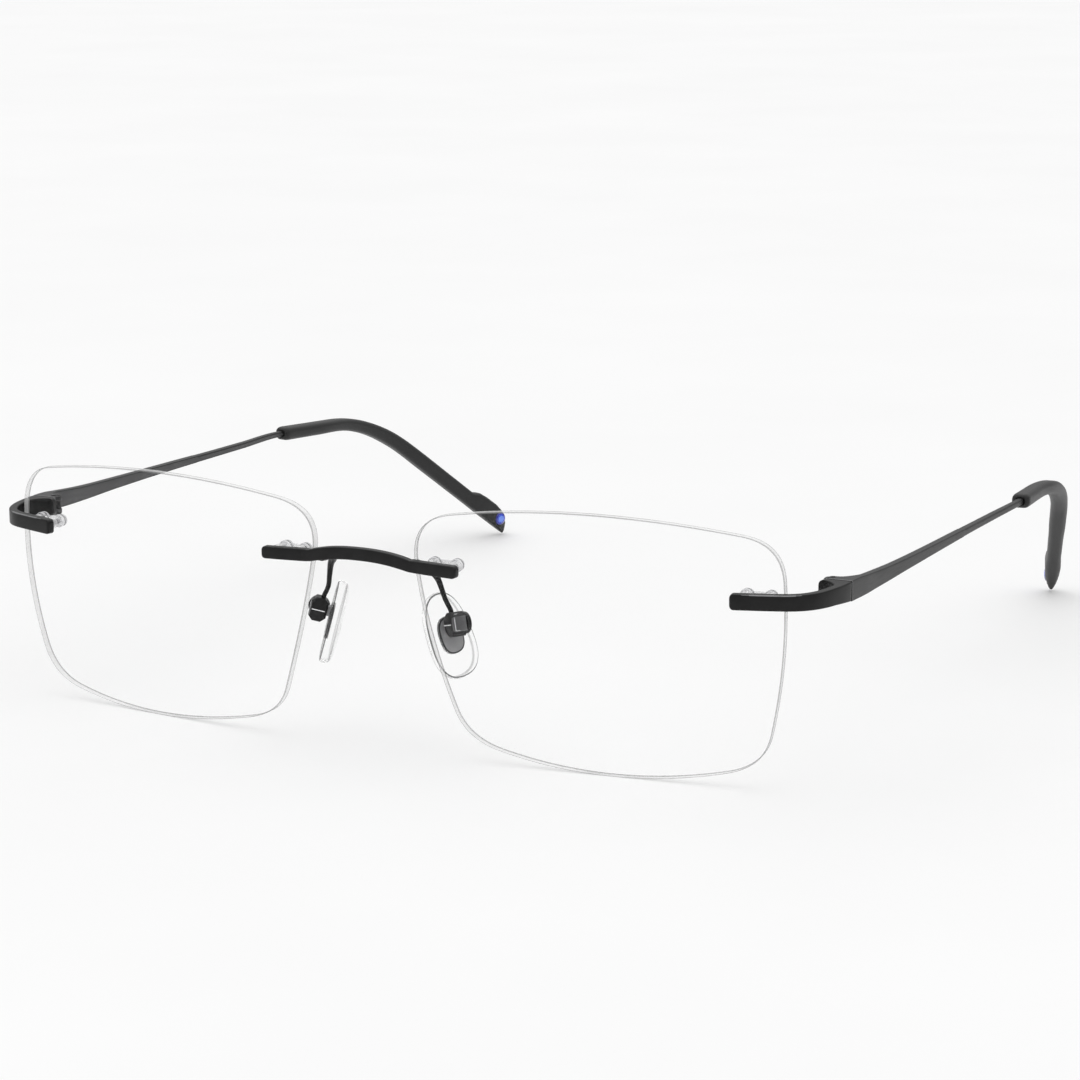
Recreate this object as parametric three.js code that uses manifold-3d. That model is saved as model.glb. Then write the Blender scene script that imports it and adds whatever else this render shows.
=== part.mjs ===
// Three-piece rimless eyeglasses. Two bare lenses are drilled at their nasal and temple sides. A bridge bar
// and two wrap-round endpieces lie on the lens fronts, and their pins pass through the lenses into clear
// compression sleeves behind them. Nose arms carry rocking pads. Each temple ends in a fork that turns on a
// screw round a tongue fixed in the endpiece.
// X runs across the face (+X is the wearer's left), the glasses look towards -Y, and +Z is up.
import * as THREE from 'three';
import { mergeVertices } from 'three/addons/utils/BufferGeometryUtils.js';
import Module from 'manifold-3d';

const wasm = await Module();
wasm.setup();

// ---------------------------------------------------------------- driving dimensions, mm and degrees
const LENS = {
  centre: new THREE.Vector3(36.66, 0, 18.98), // middle of the front surface of the wearer's left lens
  wrap: 5.6, // how far the temple side is turned back
  tilt: 3.5, // how far the top leans forward
  frontRadius: 130, // radius of the front surface
  thickness: 1.2,
};
// The lens outline seen from the front: sharp corners before rounding, anticlockwise from the nasal bottom.
// Each has its corner size and the bulge of the side that follows it.
const LENS_OUTLINE = [
  { corner: [-20.7, -17.3], round: 5.5, bulge: 1.85 },
  { corner: [25.2, -17.4], round: 6.0, bulge: 0.85 },
  { corner: [28.5, 17.25], round: 6.5, bulge: 1.95 },
  { corner: [-30.1, 17.15], round: 8.1, bulge: 0.55 },
];
const MOUNT_OFFSETS = [22.2, 25.5]; // the two pins of a mount, from the lens middle
const BRIDGE_HEIGHT_ON_LENS = 9.25;
const ENDPIECE_HEIGHT_ON_LENS = 8.4;
const LENS_HOLE = 0.85;
const GAP = 0.05; // between parts that touch
const SCREW_BORE = 0.46;
const PIN = { radius: 0.42, start: 0.1, behindLens: 1.2 };
// The sleeve's barrels line the lens holes, and its wider collars stand behind the lens.
const SLEEVE = { bore: 0.46, barrel: 0.8, collar: 1.0, start: 0.3, behindLens: 1.7, webDepth: 0.6 };

// Both bars have a square section with round edges. endShare is how high the bar still is at its very end.
const BAR = { thickness: 1.3, lensGap: 0.08, endShare: 0.7 };
const BRIDGE = {
  height: 1.85,
  bend: 9.1, // where the arch meets the straight arm on each lens
  frontY: -1.0, // the bar's centre line at the middle of the arch
  bendY: -0.45,
  topZ: 29.4,
  bendZ: 28.2,
  onLens: [20.4, 20.75, 23.5, 26.6], // distances from the lens middle, from the end of the bar
  arch: [8.2, 5.5, 2.8], // distances from the middle of the arch
};
const ENDPIECE = {
  height: 2.3,
  onLens: [20.6, 20.95, 23.5],
  lensLeave: 27.6, // where the bar starts to curve back
  firstPull: 3.8,
  lastPull: 7,
  seamHeight: 2.7,
};

const HINGE = new THREE.Vector3(66.15, 16.5, 27.6); // the screw axis passes here
const SEAM = { y: 15.5, gap: 0.16 }; // the flat joint between the endpiece and the temple
const FLANGE = { inner: 65.25, outer: 69.95, depth: 1.1, height: 2.75, cornerRadius: 0.6, filletHeight: 2.3 };
const FORK = { radius: 0.92, height: 2.7, end: 18, filletEnd: 21, filletHeight: 2.5, slotReach: 0.95 };
const TONGUE = { radius: 0.82, halfHeight: 0.62, clearance: 0.06 };
const LEAF = { inner: 65.6, outer: 68.4, depth: 0.5, halfHeight: 0.95 };
const SCREW = { shaft: 0.42, head: 0.72, headHeight: 0.3, slotWidth: 0.24 };

// Temple bar: centre line and size from the hinge to the sleeve, as [x, y, z, thickness, height].
const TEMPLE_STATIONS = [
  [69.45, 16.1, 27.6, 1.0, 2.7],
  [69.45, 18, 27.5, 1.0, 2.75],
  [69.35, 21, 27.35, 1.0, 2.6],
  [69.2, 25, 27.2, 0.95, 2.3],
  [69.2, 30, 27.15, 0.95, 2.0],
  [69.15, 40, 27.2, 0.95, 1.6],
  [68.95, 54, 27.2, 1.0, 1.2],
  [68.65, 68, 27.12, 1.0, 1.0],
];
// Ear tip: straight to the ear, bent down over it, then straight to its end on the table.
const TIP = {
  start: new THREE.Vector3(68.45, 86.6, 27.1),
  bendStart: new THREE.Vector3(66.75, 99, 26.5),
  bendApex: new THREE.Vector3(66.7, 110.6, 26.3),
  bendEnd: new THREE.Vector3(63.3, 119.6, 19.7),
  end: new THREE.Vector3(54.2, 142.2, 1.1),
};
const CORE_REACH = 0.72; // how much of the tip the bar's thin core fills
const CORE = { thickness: 1.0, height: 0.92, clearance: 0.1 };
const INLAY = { along: 0.955, radius: 1.05, depth: 0.5 };

// Nose pad: the pad rocks on its screw, which lies across the box along the pad's width.
const PAD = {
  pivot: new THREE.Vector3(11.7, 6.35, 18.6),
  widthDirection: new THREE.Vector3(0.5, 0.866, 0),
  upDirection: new THREE.Vector3(-0.284, 0.013, 0.959),
  length: 13.2,
  width: 7.7,
  lean: 13, // how far the pad's lower end is turned back in its own plane
  thickness: 2.2,
  backGap: 1.75, // from the pivot to the back of the pad
  drop: 1.45, // the pad's middle is this far below the pivot
};
const PLATE = { length: 5.6, width: 3.8, thickness: 0.6, stem: 1.5, eye: 0.9 };
const BOX = { width: 3.6, height: 4.0, depth: 2.6, channel: 1.9, wall: 0.3 };
// Nose arm, from the back of the bridge to the top of the pad box, as [x, y, z, width, thickness].
const NOSE_ARM_STATIONS = [
  [6.9, 0.1, 28.2, 1.4, 1.3],
  [7.0, 2.2, 28.0, 1.4, 1.1],
  [7.5, 4.1, 27.4, 1.3, 1.0],
  [8.5, 5.3, 26.2, 1.1, 0.9],
  [9.15, 5.95, 24.3, 0.85, 0.8],
  [9.9, 6.4, 22.3, 0.72, 0.72],
  [10.7, 6.45, 20.95, 0.7, 0.7],
];

// ---------------------------------------------------------------- materials
const blackMetal = { color: 0x1d1d1f, roughness: 0.5, metalness: 0.6 };
const templeMetal = { color: 0x3a3b3d, roughness: 0.45, metalness: 0.6 };
const clearLens = { color: 0xf4f8f8, roughness: 0.05, metalness: 0, transparent: true, opacity: 0.3 };
const clearPlastic = { color: 0xe8ecec, roughness: 0.2, metalness: 0, transparent: true, opacity: 0.6 };
const padPlate = { color: 0x6f7275, roughness: 0.4, metalness: 0.8 };
const softBlack = { color: 0x202022, roughness: 0.75, metalness: 0 };
const blueInlay = { color: 0x1e2fb8, roughness: 0.15, metalness: 0 };

// ---------------------------------------------------------------- solids
const UP = new THREE.Vector3(0, 0, 1);
const SMOOTH = 12; // sides of the small round pieces

function solidFrom(geometry) {
  const bare = geometry.clone();
  bare.deleteAttribute('normal');
  bare.deleteAttribute('uv');
  const merged = mergeVertices(bare, 1e-4);
  const vertProperties = new Float32Array(merged.attributes.position.array);
  const triVerts = new Uint32Array(merged.index.array);
  return new wasm.Manifold(new wasm.Mesh({ numProp: 3, vertProperties, triVerts }));
}

function geometryFrom(solid) {
  const mesh = solid.getMesh();
  const geometry = new THREE.BufferGeometry();
  geometry.setAttribute('position', new THREE.BufferAttribute(new Float32Array(mesh.vertProperties), 3));
  geometry.setIndex(new THREE.BufferAttribute(new Uint32Array(mesh.triVerts), 1));
  geometry.computeVertexNormals();
  return geometry;
}

function join(...pieces) {
  return geometryFrom(pieces.map(solidFrom).reduce((whole, piece) => whole.add(piece)));
}

function cut(geometry, ...tools) {
  return geometryFrom(tools.map(solidFrom).reduce((left, tool) => left.subtract(tool), solidFrom(geometry)));
}

function named(name, geometry, look) {
  const mesh = new THREE.Mesh(geometry, new THREE.MeshStandardMaterial(look));
  mesh.name = name;
  return mesh;
}

function box(low, high) {
  const size = high.map((value, axis) => value - low[axis]);
  const middle = high.map((value, axis) => (value + low[axis]) / 2);
  return new THREE.BoxGeometry(...size).translate(...middle);
}

/** A cylinder whose axis lies along 'x', 'y' or 'z', from one end to the other, through the point given. */
function cylinder(axis, radius, from, to, [x, y, z]) {
  const geometry = new THREE.CylinderGeometry(radius, radius, to - from, SMOOTH);
  const middle = (from + to) / 2;
  if (axis === 'x') return geometry.rotateZ(Math.PI / 2).translate(middle, y, z);
  if (axis === 'z') return geometry.rotateX(Math.PI / 2).translate(x, y, middle);
  return geometry.translate(x, middle, z);
}

function roundedRectangle(width, height, radius) {
  const [x, y] = [width / 2 - radius, height / 2 - radius];
  const shape = new THREE.Shape();
  shape.absarc(x, y, radius, 0, Math.PI / 2);
  shape.absarc(-x, y, radius, Math.PI / 2, Math.PI);
  shape.absarc(-x, -y, radius, Math.PI, Math.PI * 1.5);
  shape.absarc(x, -y, radius, Math.PI * 1.5, Math.PI * 2);
  return shape;
}

function oval(width, height) {
  return new THREE.Shape().absellipse(0, 0, width / 2, height / 2, 0, Math.PI * 2);
}

const BAR_SECTION = roundedRectangle(1, 1, 0.25);
const ROUND_SECTION = roundedRectangle(1, 1, 0.42);

/** Places a section across a path: its width lies level and its height as near to upright as it can. */
function sectionFrame(point, tangent, width, height, reference = UP) {
  const forward = tangent.clone().normalize();
  const across = reference.clone().cross(forward).normalize();
  const upright = forward.clone().cross(across);
  const frame = new THREE.Matrix4();
  frame.makeBasis(across.multiplyScalar(width), upright.multiplyScalar(height), forward);
  return frame.setPosition(point);
}

/** Carries a section of unit size through a list of frames. */
function sweep(section, frames, curveSegments = 1) {
  const steps = frames.length - 1;
  const options = { depth: steps, steps, bevelEnabled: false, curveSegments };
  const geometry = new THREE.ExtrudeGeometry(section, options);
  const position = geometry.attributes.position;
  const point = new THREE.Vector3();
  for (let i = 0; i < position.count; i++) {
    point.fromBufferAttribute(position, i);
    const frame = frames[Math.round(point.z)];
    point.setZ(0).applyMatrix4(frame);
    position.setXYZ(i, point.x, point.y, point.z);
  }
  return geometry;
}

/** A bar through stations of { point, width, height }. */
function barThrough(section, stations, reference) {
  const last = stations.length - 1;
  const frames = stations.map(({ point, width, height }, i) => {
    const before = stations[Math.max(i - 1, 0)].point;
    const after = stations[Math.min(i + 1, last)].point;
    return sectionFrame(point, after.clone().sub(before), width, height, reference);
  });
  return sweep(section, frames);
}

function stationOf([x, y, z, width, height]) {
  return { point: new THREE.Vector3(x, y, z), width, height };
}

// ---------------------------------------------------------------- lens
const lensFrame = new THREE.Matrix4()
  .makeRotationZ(THREE.MathUtils.degToRad(LENS.wrap))
  .multiply(new THREE.Matrix4().makeRotationX(THREE.MathUtils.degToRad(LENS.tilt)))
  .setPosition(LENS.centre);
const intoLensFrame = lensFrame.clone().invert();

/** How far the front surface has curved back at a point of the lens frame. */
function lensSag(x, z) {
  return (x * x + z * z) / (2 * LENS.frontRadius);
}

/** The point of the part a given depth behind the lens front, at a place on the lens. */
function onLens(x, z, depth) {
  return new THREE.Vector3(x, lensSag(x, z) + depth, z).applyMatrix4(lensFrame);
}

/** Where two lines meet in a plane, each given by a point and a direction. */
function meeting(pointA, directionA, pointB, directionB) {
  const between = pointB.clone().sub(pointA);
  const along = between.cross(directionB) / directionA.cross(directionB);
  return pointA.clone().addScaledVector(directionA, along);
}

/** The lens outline: bulging sides joined by round corners, each a quadratic curve. */
function lensPath() {
  const sides = LENS_OUTLINE.map(({ corner, round, bulge }, i) => {
    const next = LENS_OUTLINE[(i + 1) % LENS_OUTLINE.length];
    const from = new THREE.Vector2(...corner);
    const to = new THREE.Vector2(...next.corner);
    const along = to.clone().sub(from).normalize();
    const outward = new THREE.Vector2(along.y, -along.x);
    const pull = from.clone().add(to).multiplyScalar(0.5).addScaledVector(outward, 2 * bulge);
    const start = from.clone().addScaledVector(along, round);
    const end = to.clone().addScaledVector(along, -next.round);
    return { start, pull, end };
  });
  const path = new THREE.Path();
  sides.forEach((side, i) => {
    const next = sides[(i + 1) % sides.length];
    const leaving = side.end.clone().sub(side.pull);
    const arriving = next.start.clone().sub(next.pull);
    const turn = meeting(side.end, leaving, next.start, arriving);
    path.curves.push(new THREE.QuadraticBezierCurve(side.start, side.pull, side.end));
    path.curves.push(new THREE.QuadraticBezierCurve(side.end, turn, next.start));
  });
  return path;
}

/** A round disc spread out to the outline and curved back like the lens surface. */
function lensGeometry() {
  const segments = 60;
  const outline = lensPath().getSpacedPoints(segments);
  const rings = [0, 0.45, 0.8, 1];
  const front = rings.map((radius) => new THREE.Vector2(radius, 0));
  const back = rings.map((radius) => new THREE.Vector2(radius, LENS.thickness)).reverse();
  const profile = [...front, ...back];
  const geometry = new THREE.LatheGeometry(profile, segments);
  const position = geometry.attributes.position;
  for (let i = 0; i < position.count; i++) {
    const edge = outline[(segments - Math.floor(i / profile.length)) % segments];
    const { x: reach, y: depth } = profile[i % profile.length];
    const [x, z] = [edge.x * reach, edge.y * reach];
    position.setXYZ(i, x, lensSag(x, z) + depth, z);
  }
  const holes = mountSpots().map(([x, z]) => cylinder('y', LENS_HOLE, -1, 9, [x, 0, z]));
  const table = box([-90, -90, -20], [90, 90, 0]).applyMatrix4(intoLensFrame);
  return cut(geometry, ...holes, table);
}

/** The four pin places of a lens: the first two carry the bridge, the others the endpiece. */
function mountSpots() {
  const bridge = MOUNT_OFFSETS.map((offset) => [-offset, BRIDGE_HEIGHT_ON_LENS]);
  const endpiece = MOUNT_OFFSETS.map((offset) => [offset, ENDPIECE_HEIGHT_ON_LENS]);
  return [...bridge, ...endpiece];
}

/** A pin from the back of the bar, through the lens, into the collar of its sleeve. */
function pinGeometry([x, z]) {
  const front = lensSag(x, z);
  return cylinder('y', PIN.radius, front + PIN.start, front + LENS.thickness + PIN.behindLens, [x, 0, z]);
}

/** A clear double sleeve: a web joins two bored collars, whose barrels line the lens holes. */
function sleeveGeometry(spots) {
  const deepest = spots.map(([x, z]) => lensSag(Math.abs(x) + SLEEVE.collar, z + SLEEVE.collar));
  const back = Math.max(...deepest) + LENS.thickness + GAP;
  const end = back + SLEEVE.behindLens;
  const barrels = spots.map(([x, z]) => {
    return cylinder('y', SLEEVE.barrel, lensSag(x, z) + SLEEVE.start, end, [x, 0, z]);
  });
  const collars = spots.map(([x, z]) => cylinder('y', SLEEVE.collar, back, end, [x, 0, z]));
  const bores = spots.map(([x, z]) => cylinder('y', SLEEVE.bore, 0, end + 1, [x, 0, z]));
  const [[x1, z1], [x2]] = spots;
  const low = [Math.min(x1, x2), back, z1 - SLEEVE.barrel];
  const high = [Math.max(x1, x2), back + SLEEVE.webDepth, z1 + SLEEVE.barrel];
  return cut(join(box(low, high), ...barrels, ...collars), ...bores);
}

// ---------------------------------------------------------------- bars on the lens fronts
const BAR_DEPTH = -(BAR.thickness / 2 + BAR.lensGap);

/** Stations of a bar along the lens front, from its end. */
function stationsOnLens(offsets, side, lensHeight, barHeight) {
  return offsets.map((offset, i) => ({
    point: onLens(side * offset, lensHeight, BAR_DEPTH),
    width: BAR.thickness,
    height: i ? barHeight : BAR.endShare * barHeight,
  }));
}

/** One half of the bridge's centre line, from its end on the lens to the middle of the arch. */
function bridgeHalf() {
  const arch = BRIDGE.arch.map((x) => {
    const rise = 1 - (x / BRIDGE.bend) ** 2;
    const y = THREE.MathUtils.lerp(BRIDGE.bendY, BRIDGE.frontY, rise);
    const z = THREE.MathUtils.lerp(BRIDGE.bendZ, BRIDGE.topZ, rise);
    return { point: new THREE.Vector3(x, y, z), width: BAR.thickness, height: BRIDGE.height };
  });
  return [...stationsOnLens(BRIDGE.onLens, -1, BRIDGE_HEIGHT_ON_LENS, BRIDGE.height), ...arch];
}

function bridgeGeometry() {
  const left = bridgeHalf();
  const mirror = new THREE.Vector3(-1, 1, 1);
  const right = left.map(({ point, ...size }) => ({ point: point.clone().multiply(mirror), ...size }));
  const middle = stationOf([0, BRIDGE.frontY, BRIDGE.topZ, BAR.thickness, BRIDGE.height]);
  return barThrough(BAR_SECTION, [...right, middle, ...left.reverse()]);
}

/** The endpiece follows the lens front, curves back round its edge, and ends in a flange turned inwards. */
function endpieceGeometry() {
  const { height, onLens: places, lensLeave, firstPull, lastPull, seamHeight } = ENDPIECE;
  const end = SEAM.y - SEAM.gap / 2;
  const leave = onLens(lensLeave, ENDPIECE_HEIGHT_ON_LENS, BAR_DEPTH);
  const leaving = leave.clone().sub(onLens(lensLeave - 1, ENDPIECE_HEIGHT_ON_LENS, BAR_DEPTH)).normalize();
  const seam = new THREE.Vector3(FLANGE.outer - BAR.thickness / 2, end, HINGE.z);
  const arriving = new THREE.Vector3(-0.3, -lastPull, 0);
  const curve = new THREE.CubicBezierCurve3(
    leave,
    leave.clone().addScaledVector(leaving, firstPull),
    seam.clone().add(arriving),
    seam,
  );
  const turns = 9;
  const bend = curve.getSpacedPoints(turns).map((point, i) => ({
    point,
    width: BAR.thickness,
    height: THREE.MathUtils.lerp(height, seamHeight, (i / turns) ** 2),
  }));
  const onFront = stationsOnLens(places, 1, ENDPIECE_HEIGHT_ON_LENS, height);
  const bar = barThrough(BAR_SECTION, [...onFront, ...bend]);
  const half = LEAF.halfHeight + GAP;
  const pocket = box(
    [LEAF.inner - GAP, end - LEAF.depth - GAP, HINGE.z - half],
    [LEAF.outer + GAP, end + 1, HINGE.z + half],
  );
  return cut(join(bar, flangeGeometry(end - FLANGE.depth), flangeFillet(end)), pocket);
}

/** A flat tongue that runs inwards from the outer face of the bar. */
function flangeGeometry(y) {
  const shape = roundedRectangle(FLANGE.outer - FLANGE.inner, FLANGE.height, FLANGE.cornerRadius);
  const options = { depth: FLANGE.depth, bevelEnabled: false, curveSegments: 2 };
  const plate = new THREE.ExtrudeGeometry(shape, options);
  return plate.rotateX(-Math.PI / 2).translate((FLANGE.outer + FLANGE.inner) / 2, y, HINGE.z);
}

/** The hollow curve from the flange to the inner face of the bar. */
function flangeFillet(end) {
  const front = end - FLANGE.depth;
  const barInside = FLANGE.outer - BAR.thickness;
  const shape = new THREE.Shape();
  shape.moveTo(FLANGE.inner + 0.4, front + 0.2);
  shape.lineTo(FLANGE.inner + 0.4, front);
  shape.quadraticCurveTo(barInside - 0.3, front, barInside, front - 3.4);
  shape.lineTo(barInside + 0.6, front - 3.4);
  shape.lineTo(barInside + 0.6, front + 0.2);
  return uprightPlate(shape, FLANGE.filletHeight);
}

/** A shape drawn in the level plane, given a height above and below the hinge's middle. */
function uprightPlate(shape, height) {
  const options = { depth: height, bevelEnabled: false, curveSegments: 5 };
  return new THREE.ExtrudeGeometry(shape, options).translate(0, 0, HINGE.z - height / 2);
}

// ---------------------------------------------------------------- hinge
/** The tongue: a leaf let into the back of the flange, and the eye it carries round the screw. */
function tongueGeometry() {
  const back = SEAM.y - SEAM.gap / 2;
  const [front, half] = [back - LEAF.depth, TONGUE.halfHeight];
  const [bottom, top] = [HINGE.z - LEAF.halfHeight, HINGE.z + LEAF.halfHeight];
  const leaf = box([LEAF.inner, front, bottom], [LEAF.outer, back, top]);
  const arm = box([LEAF.inner, front, HINGE.z - half], [HINGE.x + TONGUE.radius, HINGE.y, HINGE.z + half]);
  const eye = cylinder('z', TONGUE.radius, HINGE.z - half, HINGE.z + half, HINGE.toArray());
  return cut(join(leaf, arm, eye), hingeBore(SCREW_BORE));
}

function hingeBore(radius) {
  return cylinder('z', radius, HINGE.z - 5, HINGE.z + 5, HINGE.toArray());
}

/** The screw fills the fork from the bottom lip to its head, which lies flush in the top lip. */
function hingeScrewGeometry() {
  const top = HINGE.z + FORK.height / 2 - GAP;
  const under = top - SCREW.headHeight;
  const shaft = cylinder('z', SCREW.shaft, HINGE.z - FORK.height / 2 + GAP, under + 0.1, HINGE.toArray());
  const head = cylinder('z', SCREW.head, under, top, HINGE.toArray());
  const half = SCREW.slotWidth / 2;
  const slotFloor = top - SCREW.headHeight / 2;
  const slot = box([HINGE.x - 1, HINGE.y - half, slotFloor], [HINGE.x + 1, HINGE.y + half, top + 1]);
  return cut(join(shaft, head), slot);
}

// ---------------------------------------------------------------- temple
const TIP_PATH = new THREE.CurvePath();
TIP_PATH.add(new THREE.LineCurve3(TIP.start, TIP.bendStart));
TIP_PATH.add(new THREE.QuadraticBezierCurve3(TIP.bendStart, TIP.bendApex, TIP.bendEnd));
TIP_PATH.add(new THREE.LineCurve3(TIP.bendEnd, TIP.end));

// The tip's section along its length: how far along, thickness, and reach below and above the centre line.
const TIP_SIZES = [
  [0, 2.4, 0.85, 0.85],
  [0.008, 2.95, 1.15, 1.15],
  [0.2, 2.85, 1.1, 1.1],
  [0.3, 2.75, 1.1, 1.1],
  [0.5, 2.8, 1.28, 1.28],
  [0.62, 2.75, 1.32, 1.32],
  [0.77, 2.42, 1.3, 1.3],
  [0.82, 2.65, 1.3, 2.05],
  [0.92, 2.5, 1.3, 2.2],
  [0.945, 2.0, 1.3, 2.0],
  [0.975, 1.3, 1.3, 1.3],
  [1, 0.5, 1.3, -0.6],
];

/** The tip's thickness at a place along it, and its reach below and above the centre line. */
function tipSize(along) {
  const after = Math.max(1, TIP_SIZES.findIndex(([place]) => place >= along));
  const [from, ...low] = TIP_SIZES[after - 1];
  const [to, ...high] = TIP_SIZES[after];
  const share = (along - from) / (to - from);
  return low.map((value, i) => THREE.MathUtils.lerp(value, high[i], share));
}

/** Stations along the tip from one place to another, at the size a rule gives. */
function tipStations(places, sizeAt) {
  return places.map((along) => {
    const [width, below, above] = sizeAt(along);
    const point = TIP_PATH.getPointAt(along);
    const upright = new THREE.Vector3().setFromMatrixColumn(tipFrame(along), 1);
    return { point: point.addScaledVector(upright, (above - below) / 2), width, height: above + below };
  });
}

/** The frame of the tip's section at a place along it. */
function tipFrame(along) {
  return sectionFrame(TIP_PATH.getPointAt(along), TIP_PATH.getTangentAt(along), 1, 1);
}

function evenly(from, to, steps) {
  return Array.from({ length: steps + 1 }, (_, i) => THREE.MathUtils.lerp(from, to, i / steps));
}

function templeBarGeometry() {
  const coreSize = () => [CORE.thickness, CORE.height / 2, CORE.height / 2];
  const core = tipStations(evenly(0, CORE_REACH, 16), coreSize);
  const bar = barThrough(BAR_SECTION, [...TEMPLE_STATIONS.map(stationOf), ...core]);
  const half = TONGUE.halfHeight + TONGUE.clearance;
  const slotEnd = [HINGE.x + FORK.slotReach, HINGE.y + FORK.slotReach, HINGE.z + half];
  const slot = box([HINGE.x - 5, HINGE.y - 5, HINGE.z - half], slotEnd);
  const headFloor = HINGE.z + FORK.height / 2 - SCREW.headHeight - 2 * GAP;
  const headPocket = cylinder('z', SCREW.head + GAP, headFloor, HINGE.z + 5, HINGE.toArray());
  return cut(join(bar, forkGeometry(), forkFillet()), slot, headPocket, hingeBore(SCREW_BORE));
}

/** The fork before it is slotted: a block with its inner end rounded about the screw. */
function forkGeometry() {
  const front = SEAM.y + SEAM.gap / 2;
  const shape = new THREE.Shape();
  shape.moveTo(HINGE.x, HINGE.y - FORK.radius);
  shape.lineTo(FLANGE.outer, front);
  shape.lineTo(FLANGE.outer, FORK.end);
  shape.lineTo(HINGE.x + 1, FORK.end);
  shape.lineTo(HINGE.x, HINGE.y + FORK.radius);
  shape.absarc(HINGE.x, HINGE.y, FORK.radius, Math.PI / 2, Math.PI * 1.5);
  return uprightPlate(shape, FORK.height);
}

/** The hollow curve from the fork to the inner face of the temple bar. */
function forkFillet() {
  const barInside = TEMPLE_STATIONS[2][0] - TEMPLE_STATIONS[2][3] / 2;
  const start = HINGE.y + FORK.radius - 0.1;
  const shape = new THREE.Shape();
  shape.moveTo(HINGE.x + 0.3, start);
  shape.lineTo(barInside + 0.5, start);
  shape.lineTo(barInside + 0.5, FORK.filletEnd);
  shape.lineTo(barInside, FORK.filletEnd);
  shape.quadraticCurveTo(barInside - 0.2, start + 0.7, HINGE.x + 0.3, start);
  return uprightPlate(shape, FORK.filletHeight);
}

/** The frame of the inlay: its third axis points out of the tip's inner face. */
function inlayFrame() {
  const inward = new THREE.Vector3().setFromMatrixColumn(tipFrame(INLAY.along), 0);
  const [thickness] = tipSize(INLAY.along);
  return { face: TIP_PATH.getPointAt(INLAY.along).addScaledVector(inward, thickness / 2), inward };
}

/** A disc whose axis points out of the tip's inner face. */
function discOnTip(radius, bottom, top) {
  const { face, inward } = inlayFrame();
  const disc = new THREE.CylinderGeometry(radius, radius, top - bottom, 20);
  disc.translate(0, (top + bottom) / 2, 0);
  const turn = new THREE.Quaternion().setFromUnitVectors(new THREE.Vector3(0, 1, 0), inward);
  return disc.applyQuaternion(turn).translate(face.x, face.y, face.z);
}

function tipGeometry() {
  const places = [0, 0.008, ...evenly(0.1, 0.77, 14), 0.82, 0.87, 0.92, 0.945, 0.96, 0.975, 1];
  const body = barThrough(ROUND_SECTION, tipStations(places, tipSize));
  const boreHalf = (CORE.height + CORE.clearance) / 2;
  const boreSize = () => [CORE.thickness + CORE.clearance, boreHalf, boreHalf];
  const bore = tipStations(evenly(0, CORE_REACH + 0.01, 17), boreSize);
  const before = { ...bore[0], point: bore[0].point.clone().add(new THREE.Vector3(0, -1, 0)) };
  const recess = discOnTip(INLAY.radius + GAP, -INLAY.depth, 2);
  const table = box([0, 0, -20], [90, 200, 0]);
  return cut(body, barThrough(BAR_SECTION, [before, ...bore]), recess, table);
}

// ---------------------------------------------------------------- nose pad
/** The pad's own frame: its width along x, its length along y, and away from the nose along z. */
function padFrame() {
  const width = PAD.widthDirection.clone().normalize();
  const away = width.clone().cross(PAD.upDirection).normalize();
  const upwards = away.clone().cross(width);
  return new THREE.Matrix4().makeBasis(width, upwards, away).setPosition(PAD.pivot);
}

/** An upright oval slab in the pad's frame, leaning about its own middle, with its underside at a place along z. */
function leaningOval(width, length, z, options) {
  const slab = new THREE.ExtrudeGeometry(oval(width, length), options);
  return slab.rotateZ(THREE.MathUtils.degToRad(PAD.lean)).translate(0, -PAD.drop, z);
}

function plateSlab(extra, depth) {
  const options = { depth, bevelEnabled: false, curveSegments: 10 };
  return leaningOval(PLATE.width + extra, PLATE.length + extra, -PAD.backGap - PLATE.thickness - extra / 2, options);
}

/** A soft oval pad with a recess in its back for the plate. */
function nosePadGeometry() {
  const edge = 0.7;
  const depth = PAD.thickness - 2 * edge;
  const options = { depth, bevelThickness: edge, bevelSize: edge, bevelSegments: 2, curveSegments: 14 };
  const front = -PAD.backGap - edge - depth;
  const pad = leaningOval(PAD.width - 2 * edge, PAD.length - 2 * edge, front, options);
  return cut(pad, plateSlab(2 * GAP, PAD.backGap));
}

/** The metal plate in the pad's back, with the stem and eye that hang on the pad screw. */
function padPlateGeometry() {
  const plate = plateSlab(0, PLATE.thickness);
  const half = PLATE.stem / 2;
  const stem = box([-half, -0.7, -PAD.backGap - PLATE.thickness / 2], [half, 0.7, 0]);
  const eye = cylinder('x', PLATE.eye, -half, half, [0, 0, 0]);
  const bore = cylinder('x', SCREW_BORE, -2, 2, [0, 0, 0]);
  return cut(join(plate, stem, eye), bore);
}

/** The box on the nose arm: two ears with a back wall, open towards the pad. */
function padBoxGeometry() {
  const [w, h, d] = [BOX.width / 2, BOX.height / 2, BOX.depth / 2];
  const shape = roundedRectangle(BOX.height, BOX.depth, 0.8);
  const options = { depth: BOX.width, bevelEnabled: false, curveSegments: 2 };
  const block = new THREE.ExtrudeGeometry(shape, options).rotateX(Math.PI / 2).rotateZ(Math.PI / 2);
  block.computeBoundingBox();
  const middle = block.boundingBox.getCenter(new THREE.Vector3());
  block.translate(-middle.x, -middle.y, -middle.z);
  const channel = box([-BOX.channel / 2, -h + 0.5, -d - 1], [BOX.channel / 2, h - 0.5, d - BOX.wall]);
  const bore = cylinder('x', SCREW_BORE, -w - 1, w + 1, [0, 0, 0]);
  return cut(block, channel, bore);
}

function padScrewGeometry() {
  const half = BOX.width / 2;
  const shaft = cylinder('x', SCREW.shaft, -half, half + 0.1, [0, 0, 0]);
  const head = cylinder('x', SCREW.head, half + GAP, half + GAP + SCREW.headHeight, [0, 0, 0]);
  return join(shaft, head);
}

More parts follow.
